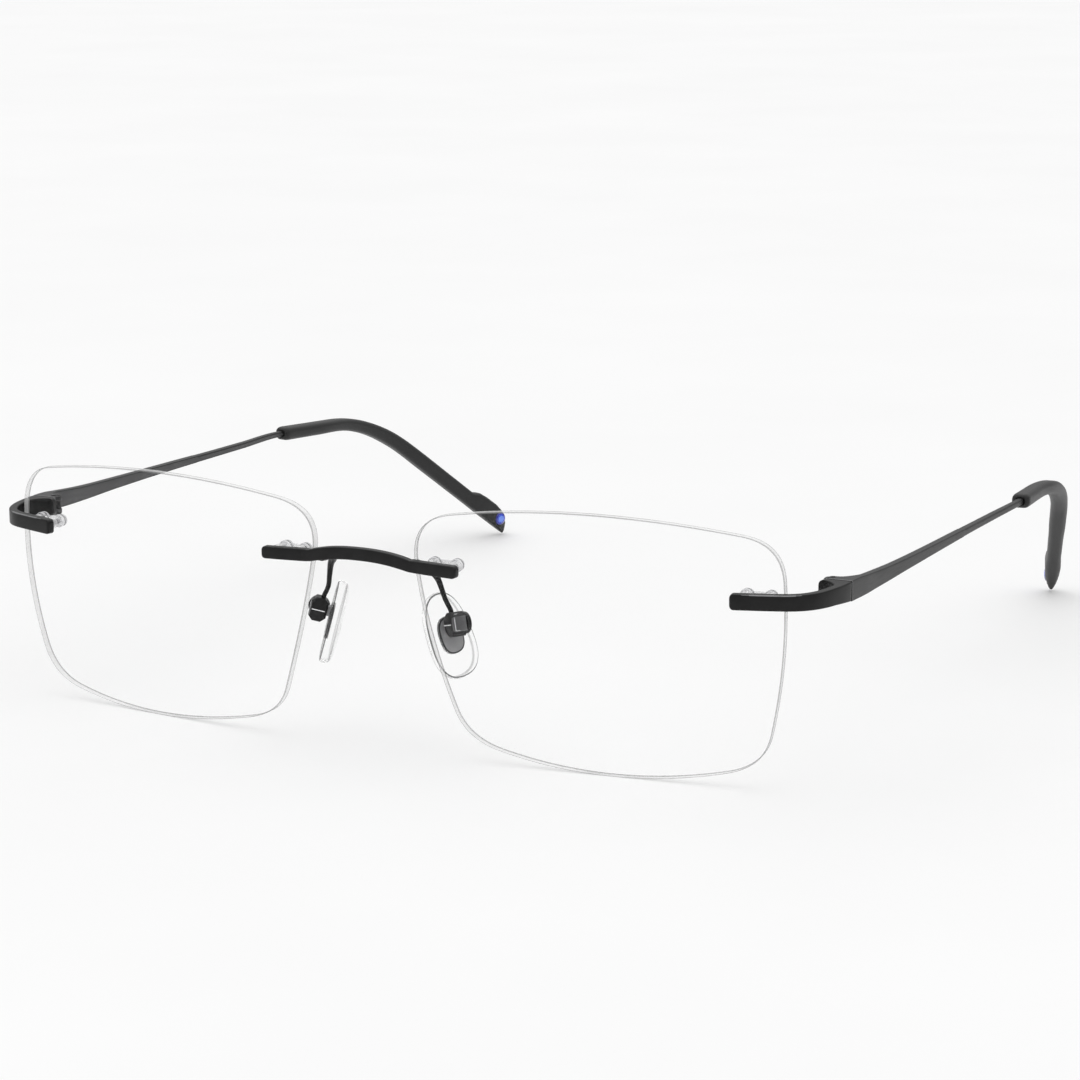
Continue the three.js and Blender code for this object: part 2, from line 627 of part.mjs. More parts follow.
// ---------------------------------------------------------------- assembly
function groupAt(matrix, ...meshes) {
  const group = new THREE.Group();
  group.applyMatrix4(matrix);
  group.add(...meshes);
  return group;
}

/** Everything that comes in a left and a right, built for the wearer's left. */
function leftHalf(name) {
  const spots = mountSpots();
  const mounts = [
    { place: 'bridge', spots: spots.slice(0, 2) },
    { place: 'endpiece', spots: spots.slice(2) },
  ];
  const fasteners = mounts.flatMap(({ place, spots: pair }) => [
    named(`${place}_sleeve_${name}`, sleeveGeometry(pair), clearPlastic),
    named(`${place}_inner_pin_${name}`, pinGeometry(pair[0]), blackMetal),
    named(`${place}_outer_pin_${name}`, pinGeometry(pair[1]), blackMetal),
  ]);
  const lensGroup = groupAt(lensFrame, named(`lens_${name}`, lensGeometry(), clearLens), ...fasteners);

  const padGroup = groupAt(
    padFrame(),
    named(`pad_box_${name}`, padBoxGeometry(), blackMetal),
    named(`pad_screw_${name}`, padScrewGeometry(), blackMetal),
    named(`pad_plate_${name}`, padPlateGeometry(), padPlate),
    named(`nose_pad_${name}`, nosePadGeometry(), clearPlastic),
  );

  const noseArm = barThrough(ROUND_SECTION, NOSE_ARM_STATIONS.map(stationOf), new THREE.Vector3(0, 1, 0));

  const temple = [
    named(`temple_bar_${name}`, templeBarGeometry(), templeMetal),
    named(`hinge_screw_${name}`, hingeScrewGeometry(), blackMetal),
    named(`temple_tip_${name}`, tipGeometry(), softBlack),
    named(`tip_inlay_${name}`, discOnTip(INLAY.radius, GAP - INLAY.depth, 0.1), blueInlay),
  ];
  const towardsHinge = HINGE.clone().negate();
  temple.forEach((mesh) => mesh.geometry.translate(...towardsHinge));
  const templeGroup = groupAt(new THREE.Matrix4().setPosition(HINGE), ...temple);

  const half = new THREE.Group();
  half.add(
    lensGroup,
    padGroup,
    templeGroup,
    named(`endpiece_${name}`, endpieceGeometry(), blackMetal),
    named(`hinge_tongue_${name}`, tongueGeometry(), blackMetal),
    named(`nose_arm_${name}`, noseArm, blackMetal),
  );
  return half;
}

const glasses = new THREE.Group();
glasses.add(named('bridge_bar', bridgeGeometry(), blackMetal));
glasses.add(leftHalf('left'));
const rightHalf = leftHalf('right');
rightHalf.scale.x = -1;
glasses.add(rightHalf);

// The origin is the middle of the glasses' box, on the table they stand on.
const extent = new THREE.Box3().setFromObject(glasses, true);
glasses.position.y = -(extent.min.y + extent.max.y) / 2;

export default glasses;
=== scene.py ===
"""Looks of the rimless eyeglasses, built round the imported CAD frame.

Shapes are drawn in millimetres in the part's design frame: x across the face, y back from the
middle of the lens fronts, z up from the table. They become metres in the row frame when a piece
is made.
"""
import math

import bmesh
import bpy
import numpy as np
from mathutils import Matrix, Vector


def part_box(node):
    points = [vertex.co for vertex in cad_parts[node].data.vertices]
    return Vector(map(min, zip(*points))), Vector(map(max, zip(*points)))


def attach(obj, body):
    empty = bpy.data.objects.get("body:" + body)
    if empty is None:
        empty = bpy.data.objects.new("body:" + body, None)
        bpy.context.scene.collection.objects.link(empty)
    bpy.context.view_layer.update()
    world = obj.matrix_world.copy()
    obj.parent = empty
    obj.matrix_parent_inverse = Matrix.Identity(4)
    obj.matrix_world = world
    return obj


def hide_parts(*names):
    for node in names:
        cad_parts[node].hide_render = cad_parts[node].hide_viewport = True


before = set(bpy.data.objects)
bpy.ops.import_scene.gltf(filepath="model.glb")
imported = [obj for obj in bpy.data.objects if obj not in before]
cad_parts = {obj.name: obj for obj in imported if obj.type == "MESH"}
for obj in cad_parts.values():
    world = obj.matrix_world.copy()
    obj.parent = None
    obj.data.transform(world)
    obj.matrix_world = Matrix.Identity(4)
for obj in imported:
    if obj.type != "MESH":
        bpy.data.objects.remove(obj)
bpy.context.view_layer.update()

MM = 0.001
SIDES = (("left", 1), ("right", -1))
HINGE = np.array([66.15, 16.5, 27.6])  # the fold axis passes here
screw_low, screw_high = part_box("hinge_screw_left")
# From the design frame to the row frame, in mm.
SHIFT_Y = (screw_low.y + screw_high.y) / 2 / MM - HINGE[1]
WORK_SLOTS = 4  # material slots that a shape keeps while it is modified


# ------------------------------------------------------------ solids
class Solid:
    """Points in mm, faces, and each face's material slot.

    A closed solid is turned so that its faces point out.
    """

    def __init__(self, points, faces, slots=None, closed=True):
        self.points = np.asarray(points, float).reshape(-1, 3)
        self.faces = [tuple(int(i) for i in face) for face in faces]
        self.slots = list(slots) if slots is not None else [0] * len(self.faces)
        if closed and self.volume() < 0:
            self.faces = [face[::-1] for face in self.faces]

    def volume(self):
        p = self.points
        fans = [(f[0], f[i], f[i + 1]) for f in self.faces for i in range(1, len(f) - 1)]
        a, b, c = p[[f[0] for f in fans]], p[[f[1] for f in fans]], p[[f[2] for f in fans]]
        return float(np.einsum("ij,ij->i", a, np.cross(b, c)).sum() / 6)

    def under(self, matrix):
        m = np.array(matrix, float)
        return Solid(self.points @ m[:3, :3].T + m[:3, 3], self.faces, self.slots)

    def painted(self, slot):
        return Solid(self.points, self.faces, [slot] * len(self.faces))


def mesh_from(solid, name="work"):
    mesh = bpy.data.meshes.new(name)
    mesh.from_pydata(solid.points.tolist(), [], solid.faces)
    mesh.polygons.foreach_set("material_index", solid.slots)
    return mesh


def solid_from(mesh):
    points = [v.co[:] for v in mesh.vertices]
    faces = [tuple(p.vertices) for p in mesh.polygons]
    return Solid(points, faces, [p.material_index for p in mesh.polygons])


def modified(solid, modifiers, others=()):
    """The solid after a list of (modifier type, settings).

    A setting called object is the number of one of the others.
    """
    helpers = []
    for each in (solid, *others):
        mesh = mesh_from(each)
        for _ in range(WORK_SLOTS):
            mesh.materials.append(None)
        helper = bpy.data.objects.new("work", mesh)
        bpy.context.scene.collection.objects.link(helper)
        helpers.append(helper)
    for kind, settings in modifiers:
        modifier = helpers[0].modifiers.new(kind, kind)
        for key, value in settings.items():
            setattr(modifier, key, helpers[value + 1] if key == "object" else value)
    graph = bpy.context.evaluated_depsgraph_get()
    evaluated = helpers[0].evaluated_get(graph)
    made = bpy.data.meshes.new_from_object(evaluated)
    result = solid_from(made)
    bpy.data.meshes.remove(made)
    for helper in helpers:
        mesh = helper.data
        bpy.data.objects.remove(helper)
        bpy.data.meshes.remove(mesh)
    return result


def combined(solid, others, operation):
    settings = {"operation": operation, "solver": "EXACT"}
    steps = [("BOOLEAN", {**settings, "object": i}) for i in range(len(others))]
    return modified(solid, steps, others)


def cut(solid, *tools):
    return combined(solid, tools, "DIFFERENCE")


def join(solid, *others):
    return combined(solid, others, "UNION")


def bevelled(solid, width, segments=2, angle=32):
    settings = {
        "width": width, "segments": segments, "limit_method": "ANGLE",
        "angle_limit": math.radians(angle), "use_clamp_overlap": True,
    }
    return modified(solid, [("BEVEL", settings)])


# ------------------------------------------------------------ shapes
def rounded(width, height, radii, steps=5):
    """A rectangle's outline with its four corner radii, from the +x +y corner anticlockwise."""
    radii = [radii] * 4 if np.isscalar(radii) else radii
    points = []
    for quarter, radius in enumerate(radii):
        sx, sy = ((1, 1), (-1, 1), (-1, -1), (1, -1))[quarter]
        radius = min(radius, width / 2 * 0.999, height / 2 * 0.999)
        for angle in np.linspace(0, math.pi / 2, steps + 1) + quarter * math.pi / 2:
            x = sx * (width / 2 - radius) + radius * math.cos(angle)
            y = sy * (height / 2 - radius) + radius * math.sin(angle)
            points.append((x, y))
    return np.array(points)


def loft(rings, slots=None, looped=False):
    """A skin through rings of equal length. Its ends are closed by flat faces, or joined if looped."""
    rings = [np.asarray(ring, float) for ring in rings]
    count, size = len(rings), len(rings[0])
    faces, marks = [], []
    for i in range(count if looped else count - 1):
        k = (i + 1) % count
        for j in range(size):
            n = (j + 1) % size
            faces.append((i * size + j, i * size + n, k * size + n, k * size + j))
            marks.append(slots[i] if slots else 0)
    if not looped:
        faces.append(tuple(range(size))[::-1])
        faces.append(tuple((count - 1) * size + j for j in range(size)))
        marks += [slots[0] if slots else 0, slots[-1] if slots else 0]
    return Solid(np.vstack(rings), faces, marks)


def unit(vectors):
    vectors = np.asarray(vectors, float)
    return vectors / np.linalg.norm(vectors, axis=-1, keepdims=True)


def sweep(points, sections, up=(0, 0, 1)):
    """A loft of flat sections set across a path.

    A section's x points across the path and its y as near up as it can.
    """
    points = np.asarray(points, float)
    steps = unit(np.diff(points, axis=0))
    forward = unit(np.vstack([steps[:1], steps[:-1] + steps[1:], steps[-1:]]))
    across = unit(np.cross(np.asarray(up, float), forward))
    upright = np.cross(forward, across)
    rings = [p + s[:, :1] * a + s[:, 1:] * u for p, s, a, u in zip(points, sections, across, upright)]
    return loft(rings)


def lathe(profile, sides=32, looped=False, slots=None):
    """A profile of (radius, place along y) turned round the y axis."""
    turns = np.linspace(0, 2 * math.pi, sides, endpoint=False)
    rings = [np.column_stack([r * np.cos(turns), np.full(sides, y), r * np.sin(turns)]) for r, y in profile]
    return loft(rings, slots, looped)


def upright(solid):
    """Turns a shape made along y so that it lies along z."""
    return solid.under(Matrix.Rotation(math.pi / 2, 4, "X"))


def moved(solid, x=0, y=0, z=0):
    return Solid(solid.points + np.array([x, y, z], float), solid.faces, solid.slots)


def block(low, high):
    low, high = np.asarray(low, float), np.asarray(high, float)
    corners = rounded(1, 1, 1e-6, 0) * (high - low)[:2] + (low + high)[:2] / 2
    return loft([np.column_stack([corners, np.full(4, z)]) for z in (low[2], high[2])])


def peg(axis, radius, start, end, at, sides=32):
    """A plain cylinder along an axis, as a cutting tool or a shaft."""
    turned = lathe([(radius, start), (radius, end)], sides)
    if axis == "z":
        turned = upright(turned)
    if axis == "x":
        turned = turned.under(Matrix.Rotation(-math.pi / 2, 4, "Z"))
    return moved(turned, *at)


def path_reach(points):
    """How far along a path each of its points lies."""
    return np.concatenate([[0], np.cumsum(np.linalg.norm(np.diff(points, axis=0), axis=1))])


def smooth(rows, count):
    """Rows of numbers that start with x, y, z, read at even places of a smooth curve through them."""
    rows = np.asarray(rows, float)
    reach = path_reach(rows[:, :3])
    slopes = np.gradient(rows, reach, axis=0)
    places = np.linspace(0, reach[-1], count)
    i = np.clip(np.searchsorted(reach, places, side="right") - 1, 0, len(reach) - 2)
    span = (reach[i + 1] - reach[i])[:, None]
    u = (places - reach[i])[:, None] / span
    start = (2 * u**3 - 3 * u**2 + 1) * rows[i] + (u**3 - 2 * u**2 + u) * span * slopes[i]
    end = (-2 * u**3 + 3 * u**2) * rows[i + 1] + (u**3 - u**2) * span * slopes[i + 1]
    return start + end


def eased(place, table):
    """Reads a table of (place, values...) with a gentle step between its rows."""
    table = np.asarray(table, float)
    i = int(np.clip(np.searchsorted(table[:, 0], place, side="right") - 1, 0, len(table) - 2))
    u = np.clip((place - table[i, 0]) / (table[i + 1, 0] - table[i, 0]), 0, 1)
    u = u * u * (3 - 2 * u)
    return table[i, 1:] * (1 - u) + table[i + 1, 1:] * u


def round_end(size, radius, distance):
    """How wide a bar still is at a distance from its rounded end."""
    if distance >= radius:
        return size
    return size - 2 * (radius - math.sqrt(radius**2 - (radius - distance) ** 2))


# ------------------------------------------------------------ materials
class Look:
    """A Principled material, with short calls for the nodes that feed it."""

    def __init__(self, name, **values):
        self.material = bpy.data.materials.new(name)
        self.material.use_nodes = True
        self.tree = self.material.node_tree
        self.shader = next(n for n in self.tree.nodes if n.type == "BSDF_PRINCIPLED")
        for key, value in values.items():
            self.shader.inputs[key.replace("_", " ")].default_value = value

    def node(self, kind, links=None, **values):
        made = self.tree.nodes.new(kind)
        for key, value in values.items():
            if hasattr(made, key):
                setattr(made, key, value)
            else:
                made.inputs[key.replace("_", " ")].default_value = value
        for key, source in (links or {}).items():
            self.tree.links.new(source, made.inputs[key])
        return made

    def place(self, scale):
        """Texture places in mm of the piece."""
        where = self.node("ShaderNodeTexCoord")
        scale = [s / MM for s in scale]
        return self.node("ShaderNodeMapping", {"Vector": where.outputs["Object"]}, Scale=scale).outputs[0]

    def noise(self, scale, detail, stretch=(1, 1, 1), roughness=0.55):
        links = {"Vector": self.place(stretch)}
        made = self.node("ShaderNodeTexNoise", links, Scale=scale, Detail=detail, Roughness=roughness)
        return made.outputs["Fac"]

    def ramp(self, source, low, high, dark, light):
        """Spreads a value between two colours."""
        made = self.node("ShaderNodeValToRGB", {"Fac": source})
        first, last = made.color_ramp.elements
        first.position, last.position = low, high
        first.color, last.color = (*dark, 1), (*light, 1)
        return made.outputs["Color"]

    def spread(self, source, low, high, least, most):
        made = self.node("ShaderNodeMapRange", {"Value": source}, clamp=True)
        for key, value in (("From Min", low), ("From Max", high), ("To Min", least), ("To Max", most)):
            made.inputs[key].default_value = value
        return made.outputs["Result"]

    def mixed(self, factor, one, two):
        made = self.tree.nodes.new("ShaderNodeMix")
        made.data_type = "RGBA"
        self.tree.links.new(factor, made.inputs["Factor"])
        self.tree.links.new(one, made.inputs[6])
        self.tree.links.new(two, made.inputs[7])
        return made.outputs[2]

    def bump(self, height, strength, distance):
        made = self.node("ShaderNodeBump", {"Height": height}, Strength=strength, Distance=distance * MM)
        self.feed("Normal", made.outputs["Normal"])

    def edges(self):
        """Where the surface turns a sharp corner."""
        where = self.node("ShaderNodeNewGeometry")
        return self.spread(where.outputs["Pointiness"], 0.52, 0.62, 0.0, 1.0)

    def feed(self, socket, source):
        self.tree.links.new(source, self.shader.inputs[socket])


def grey(value):
    return (value, value, value * 1.02)


def coated_metal(name, dark, light, rough, **values):
    """A sprayed satin coating: fine grain, soft cloudy variation, and sharp edges painted lighter as
    highlights.
    """
    look = Look(name, IOR=1.5, Specular_IOR_Level=0.25, **values)
    clouds = look.noise(0.35, 4.0)
    grain = look.noise(9.0, 2.0)
    body = look.ramp(clouds, 0.35, 0.68, grey(dark), grey(light))
    # Sharp edges are painted lighter, as a highlight on them.
    edge_highlight = look.ramp(grain, 0.3, 0.75, grey(light * 1.6), grey(light * 2.6))
    look.feed("Base Color", look.mixed(look.edges(), body, edge_highlight))
    look.feed("Roughness", look.spread(grain, 0.3, 0.7, rough - 0.06, rough + 0.08))
    look.bump(grain, 0.22, 0.02)
    return look.material


def clear_plastic(name, tint, rough, alpha, ior):
    """Clear moulded plastic with faint clouding."""
    look = Look(name, Transmission_Weight=1.0, IOR=ior, Alpha=alpha)
    flow = look.noise(0.5, 2.0, stretch=(1, 1, 0.5))
    look.feed("Base Color", look.ramp(flow, 0.3, 0.7, [c * 0.96 for c in tint], tint))
    look.feed("Roughness", look.spread(flow, 0.3, 0.7, rough, rough + 0.04))
    return look.material


def rim_painted_shade(name, dark, light, alpha):
    """The round edge of the pad, painted darker as the shade that the clear silicone shows where it is seen
    along its length.
    """
    look = Look(name, IOR=1.41, Alpha=alpha, Coat_Weight=0.3, Coat_Roughness=0.05)
    flow = look.noise(0.5, 2.0, stretch=(1, 1, 0.5))
    look.feed("Base Color", look.ramp(flow, 0.3, 0.7, grey(dark), grey(light)))
    look.feed("Roughness", look.spread(flow, 0.3, 0.7, 0.2, 0.3))
    look.bump(flow, 0.08, 0.02)
    return look.material


def milky_plastic(name, dark, light, alpha):
    """Clear plastic of the sleeves, paler or darker where it is thick or where a pin shows through."""
    look = Look(name, Alpha=alpha, IOR=1.4, Specular_IOR_Level=0.3)
    flow = look.noise(0.8, 2.0)
    look.feed("Base Color", look.ramp(flow, 0.3, 0.7, grey(dark), grey(light)))
    look.feed("Roughness", look.spread(flow, 0.3, 0.7, 0.3, 0.45))
    look.bump(flow, 0.05, 0.02)
    return look.material


def lens_surface():
    """Polished lens: nearly invisible, with the faint bloom of its coating."""
    look = Look(
        "lens_polish", Transmission_Weight=1.0, IOR=1.0, Alpha=0.15, Coat_Weight=0.5, Coat_Roughness=0.0,
    )
    haze = look.noise(0.05, 2.0)
    look.feed("Base Color", look.ramp(haze, 0.3, 0.7, (0.985, 0.99, 0.99), (0.995, 0.998, 0.995)))
    look.feed("Roughness", look.spread(haze, 0.3, 0.7, 0.0, 0.01))
    return look.material


def lens_edge(name, dark, light, alpha):
    """The ground rim of the lens, with fine grinding marks round it."""
    look = Look(name, IOR=1.5, Alpha=alpha, Specular_IOR_Level=0.3)
    grind = look.noise(3.0, 3.0, stretch=(1, 3, 1))
    broad = look.noise(0.25, 2.0)
    look.feed("Base Color", look.ramp(broad, 0.3, 0.7, (dark, dark, dark), (light, light, light)))
    look.feed("Roughness", look.spread(grind, 0.3, 0.7, 0.4, 0.6))
    look.bump(grind, 0.1, 0.02)
    return look.material


def brushed(name, dark, light, rough):
    """Satin metal with brush lines along the temple."""
    look = Look(name, Metallic=0.25, Specular_IOR_Level=0.5, IOR=1.5)
    lines = look.noise(1.0, 4.0, stretch=(9, 0.35, 9), roughness=0.7)
    clouds = look.noise(0.2, 3.0)
    one = look.ramp(lines, 0.32, 0.7, grey(dark), grey(light))
    two = look.ramp(lines, 0.32, 0.7, grey(dark * 1.3), grey(light * 1.45))
    look.feed("Base Color", look.mixed(look.spread(clouds, 0.35, 0.65, 0.0, 1.0), one, two))
    look.feed("Roughness", look.spread(lines, 0.3, 0.7, rough - 0.07, rough + 0.07))
    look.bump(lines, 0.3, 0.02)
    return look.material


def soft_touch():
    """Matte rubber-like coat of the ear tips, with a fine pebbled skin."""
    look = Look("tip_soft_black", Specular_IOR_Level=0.4, IOR=1.5, Sheen_Weight=0.05, Sheen_Roughness=0.5)
    skin = look.noise(5.0, 3.0)
    clouds = look.noise(0.12, 3.0)
    one = look.ramp(skin, 0.3, 0.7, grey(0.006), grey(0.01))
    two = look.ramp(skin, 0.3, 0.7, grey(0.01), grey(0.015))
    look.feed("Base Color", look.mixed(look.spread(clouds, 0.35, 0.65, 0.0, 1.0), one, two))
    look.feed("Roughness", look.spread(skin, 0.3, 0.7, 0.4, 0.52))
    look.bump(skin, 0.3, 0.03)
    return look.material


def blue_enamel(name, dark, light):
    """Glossy enamel with a fine fleck."""
    look = Look(name, Coat_Weight=1.0, Coat_Roughness=0.04, Roughness=0.25)
    fleck = look.noise(7.0, 2.0)
    clouds = look.noise(0.8, 2.0)
    middle = [(d + l) / 2 for d, l in zip(dark, light)]
    one = look.ramp(fleck, 0.35, 0.7, dark, middle)
    two = look.ramp(fleck, 0.35, 0.7, middle, light)
    look.feed("Base Color", look.mixed(look.spread(clouds, 0.4, 0.6, 0.0, 1.0), one, two))
    return look.material


LOOKS = {
    "lens": [
        lens_surface(),
        lens_edge("lens_ground_edge", 0.74, 0.84, 0.5),
        # the bevels' copy, painted dark as the lens's shaded outline
        lens_edge("lens_bevel_painted_shade", 0.25, 0.34, 0.6),
    ],
    "frame": [
        coated_metal("frame_satin_black", 0.004, 0.009, 0.36),
        coated_metal("frame_painted_edge_highlight", 0.16, 0.26, 0.3, Metallic=0.3),
    ],
    "temple": [
        brushed("temple_satin_grey", 0.013, 0.023, 0.42),
        brushed("temple_painted_seam_highlight", 0.13, 0.2, 0.35),
        brushed("temple_inner_painted_lit", 0.04, 0.075, 0.42),
        coated_metal("temple_painted_seam_shade", 0.002, 0.004, 0.5),
    ],
    "box": [
        coated_metal("box_painted_lit_grey", 0.11, 0.17, 0.36, Metallic=0.3),
        coated_metal("box_painted_highlight_lines", 0.3, 0.42, 0.3, Metallic=0.6),
        coated_metal("box_front_black", 0.01, 0.018, 0.34),
    ],
    "pin": [coated_metal("pin_dark_metal", 0.012, 0.02, 0.3, Metallic=0.5)],
    "plate": [
        coated_metal("plate_dull_grey", 0.3, 0.4, 0.4, Metallic=0.15),
        coated_metal("plate_painted_shade_rim", 0.03, 0.05, 0.4, Metallic=0.3),
    ],
    "tip": [soft_touch()],
    "inlay": [
        blue_enamel("inlay_deep_blue", (0.005, 0.006, 0.16), (0.012, 0.02, 0.45)),
        blue_enamel("inlay_blue_painted_soft_highlight", (0.02, 0.05, 0.55), (0.04, 0.1, 0.85)),
        blue_enamel("inlay_painted_highlight_blue", (0.1, 0.22, 0.95), (0.2, 0.38, 1.0)),
    ],
    "pad": [
        clear_plastic("pad_clear_silicone", (0.97, 0.975, 0.97), 0.02, 0.3, 1.1),
        rim_painted_shade("pad_rim_near_painted_shade", 0.03, 0.08, 0.85),
        rim_painted_shade("pad_rim_far_painted_shade", 0.15, 0.3, 0.42),
    ],
    "sleeve": [
        milky_plastic("sleeve_clear", 0.6, 0.8, 0.3),
        milky_plastic("sleeve_bright_ring", 0.72, 0.88, 0.62),
        milky_plastic("sleeve_neck", 0.02, 0.04, 0.5),
    ],
}


def piece(name, solid, look, body, node, side=1, sharp=38):
    """Makes the shown mesh of a CAD node, in metres in the row frame, and lets it ride on its body."""
    if side < 0:
        solid = solid.under(Matrix.Diagonal((-1, 1, 1, 1)))
    placed = Solid((solid.points + np.array([0, SHIFT_Y, 0])) * MM, solid.faces, solid.slots, closed=False)
    mesh = mesh_from(placed, name)
    for material in LOOKS[look]:
        mesh.materials.append(material)
    work = bmesh.new()
    work.from_mesh(mesh)
    bmesh.ops.remove_doubles(work, verts=work.verts, dist=1e-8)
    for face in work.faces:
        face.smooth = True
        face.material_index = min(face.material_index, len(LOOKS[look]) - 1)
    for edge in work.edges:
        if len(edge.link_faces) == 2 and edge.calc_face_angle(0) > math.radians(sharp):
            edge.smooth = False
    work.to_mesh(mesh)
    work.free()
    made = bpy.data.objects.new(name, mesh)
    bpy.context.scene.collection.objects.link(made)
    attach(made, body)
    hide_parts(node)
    return made


# ------------------------------------------------------------ lens
LENS_CENTRE = (36.66, 0.0, 18.98)
LENS_WRAP, LENS_TILT = 5.6, 3.5
LENS_RADIUS = 130.0
LENS_THICKNESS = 1.15
LENS_CORNERS = [  # corner, how far it is rounded, and the bulge of the side after it
    ((-20.7, -17.3), 5.5, 1.85),
    ((25.2, -17.4), 6.0, 0.85),
    ((28.5, 17.25), 6.5, 1.95),
    ((-30.1, 17.15), 8.1, 0.55),
]
PIN_OFFSETS = (21.95, 25.45)
BRIDGE_LEVEL, ENDPIECE_LEVEL = 9.25, 8.4
HOLE_RADIUS = 0.85
LENS_FRAME = np.array(
    Matrix.Translation(LENS_CENTRE)
    @ Matrix.Rotation(math.radians(LENS_WRAP), 4, "Z")
    @ Matrix.Rotation(math.radians(LENS_TILT), 4, "X")
)


def sag(x, z):
    """How far the lens front has curved back."""
    return (x * x + z * z) / (2 * LENS_RADIUS)


def on_lens(x, z, depth):
    return LENS_FRAME[:3, :3] @ np.array([x, sag(x, z) + depth, z]) + LENS_FRAME[:3, 3]


def bezier(a, b, c, steps):
    t = np.linspace(0, 1, steps, endpoint=False)[:, None]
    return (1 - t) ** 2 * a + 2 * t * (1 - t) * b + t * t * c


def lens_outline():
    sides = []
    for i, (corner, cut_back, bulge) in enumerate(LENS_CORNERS):
        following, next_cut, _ = LENS_CORNERS[(i + 1) % 4]
        start, end = np.array(corner), np.array(following)
        along = unit(end - start)
        outward = np.array([along[1], -along[0]])
        pull = (start + end) / 2 + outward * 2 * bulge
        sides.append((start + along * cut_back, pull, end - along * next_cut))
    points = []
    for i, (start, pull, end) in enumerate(sides):
        following, next_pull, _ = sides[(i + 1) % 4]
        leaving, arriving = end - pull, following - next_pull
        share = np.linalg.solve(np.column_stack([leaving, -arriving]), following - end)[0]
        points.append(bezier(start, pull, end, 44))
        points.append(bezier(end, end + leaving * share, following, 18))
    return np.vstack(points)


def lens_solid():
    outline = lens_outline()
    reach = np.linalg.norm(outline, axis=1, keepdims=True)
    thick = LENS_THICKNESS
    # Each row is a share of the outline, an inset from it and a depth.
    front = [(share, 0.0, 0.0) for share in (0.02, 0.2, 0.4, 0.58, 0.72, 0.83, 0.91, 0.965)]
    front.append((1, 0.16, 0.0))
    rim = [
        (1, 0.06, 0.03), (1, 0.0, 0.14), (1, 0.0, thick / 2), (1, 0.0, thick - 0.14),
        (1, 0.06, thick - 0.03),
    ]
    back = [(share, inset, thick) for share, inset, _ in reversed(front)]
    rings, slots = [], []
    for share, inset, depth in front + rim + back:
        flat = outline * (share - inset / reach)
        rings.append(np.column_stack([flat[:, 0], sag(flat[:, 0], flat[:, 1]) + depth, flat[:, 1]]))
    # The bevels round the rim are painted dark as the lens's shaded outline; the ground edge between them
    # keeps its pale frosted colour.
    slots = [0] * (len(front) - 1) + [2, 2, 1, 1, 2, 2] + [0] * (len(back) - 1)
    lens = loft(rings, slots)
    drills = [peg("y", HOLE_RADIUS, -1, 9, (x, 0, z)).painted(1) for x, z in pin_spots()]
    lens = cut(lens, *drills).under(LENS_FRAME)
    lens.points[:, 2] = np.maximum(lens.points[:, 2], 0.0)
    return lens


def pin_spots():
    return [(-x, BRIDGE_LEVEL) for x in PIN_OFFSETS] + [(x, ENDPIECE_LEVEL) for x in PIN_OFFSETS]


# ------------------------------------------------------------ sleeves and pins
SLEEVE_BORE, SLEEVE_BARREL, SLEEVE_COLLAR = 0.46, 0.8, 1.0
PIN_RADIUS, PIN_GROOVE = 0.42, 0.385


def sleeve_solid(spots):
    """A clear double sleeve: each barrel has a collar against the lens and a rounded tail behind it."""
    deepest = max(sag(abs(x) + SLEEVE_COLLAR, z + SLEEVE_COLLAR) for x, z in spots)
    back = deepest + LENS_THICKNESS + 0.05
    parts = []
    for x, z in spots:
        start = sag(x, z) + 0.3
        profile = [
            (SLEEVE_BORE, start + 0.05), (SLEEVE_BORE + 0.05, start), (SLEEVE_BARREL - 0.05, start),
            (SLEEVE_BARREL, start + 0.05), (SLEEVE_BARREL, back), (SLEEVE_COLLAR - 0.05, back),
            (SLEEVE_COLLAR, back + 0.06), (SLEEVE_COLLAR, back + 0.44), (SLEEVE_COLLAR - 0.04, back + 0.5),
            (0.92, back + 0.56), (0.92, back + 0.74), (0.96, back + 0.8), (0.97, back + 0.88),
            (0.94, back + 1.06), (0.85, back + 1.24), (0.7, back + 1.36), (0.56, back + 1.4),
            (SLEEVE_BORE + 0.04, back + 1.38), (SLEEVE_BORE, back + 1.32),
        ]
        bands = [0, 0, 0, 0, 0, 1, 1, 1, 2, 2, 2, 1, 1, 1, 1, 1, 1, 1, 0]
        parts.append(moved(lathe(profile, 40, looped=True, slots=bands), x, 0, z))
    (x1, z1), (x2, _) = spots
    low, high = sorted((x1, x2))
    web = block([low + 0.55, back, z1 - 0.72], [high - 0.55, back + 0.5, z1 + 0.72])
    return join(bevelled(web, 0.12, 3), *parts).under(LENS_FRAME)


def pin_solid(x, z):
    """A pin with fine holding ribs and a domed end."""
    start = sag(x, z) + 0.1
    end = sag(x, z) + LENS_THICKNESS + 1.1
    profile = [(PIN_RADIUS, start)]
    for place in np.arange(start + 0.5, end - 0.5, 0.3):
        profile += [(PIN_RADIUS, place), (PIN_GROOVE, place + 0.07)]
        profile += [(PIN_GROOVE, place + 0.14), (PIN_RADIUS, place + 0.21)]
    profile += [(PIN_RADIUS, end - 0.2), (0.38, end - 0.08), (0.27, end - 0.01), (0.12, end)]
    return moved(lathe(profile, 24), x, 0, z).under(LENS_FRAME)


# ------------------------------------------------------------ bridge
BAR_THICKNESS, BRIDGE_HEIGHT, ENDPIECE_HEIGHT = 1.3, 1.85, 2.3
BAR_DEPTH = -(BAR_THICKNESS / 2 + 0.08)
BAR_EDGE = 0.24
END_ROUND = 0.62
END_STEPS = [0, 0.03, 0.08, 0.16, 0.27, 0.4, 0.55, END_ROUND]  # places of the sections round a bar's end
BRIDGE_END, ENDPIECE_END = 20.4, 20.6  # where each bar ends, from the middle of the lens
BRIDGE_BEND = 9.1
ARCH_START = 8.35


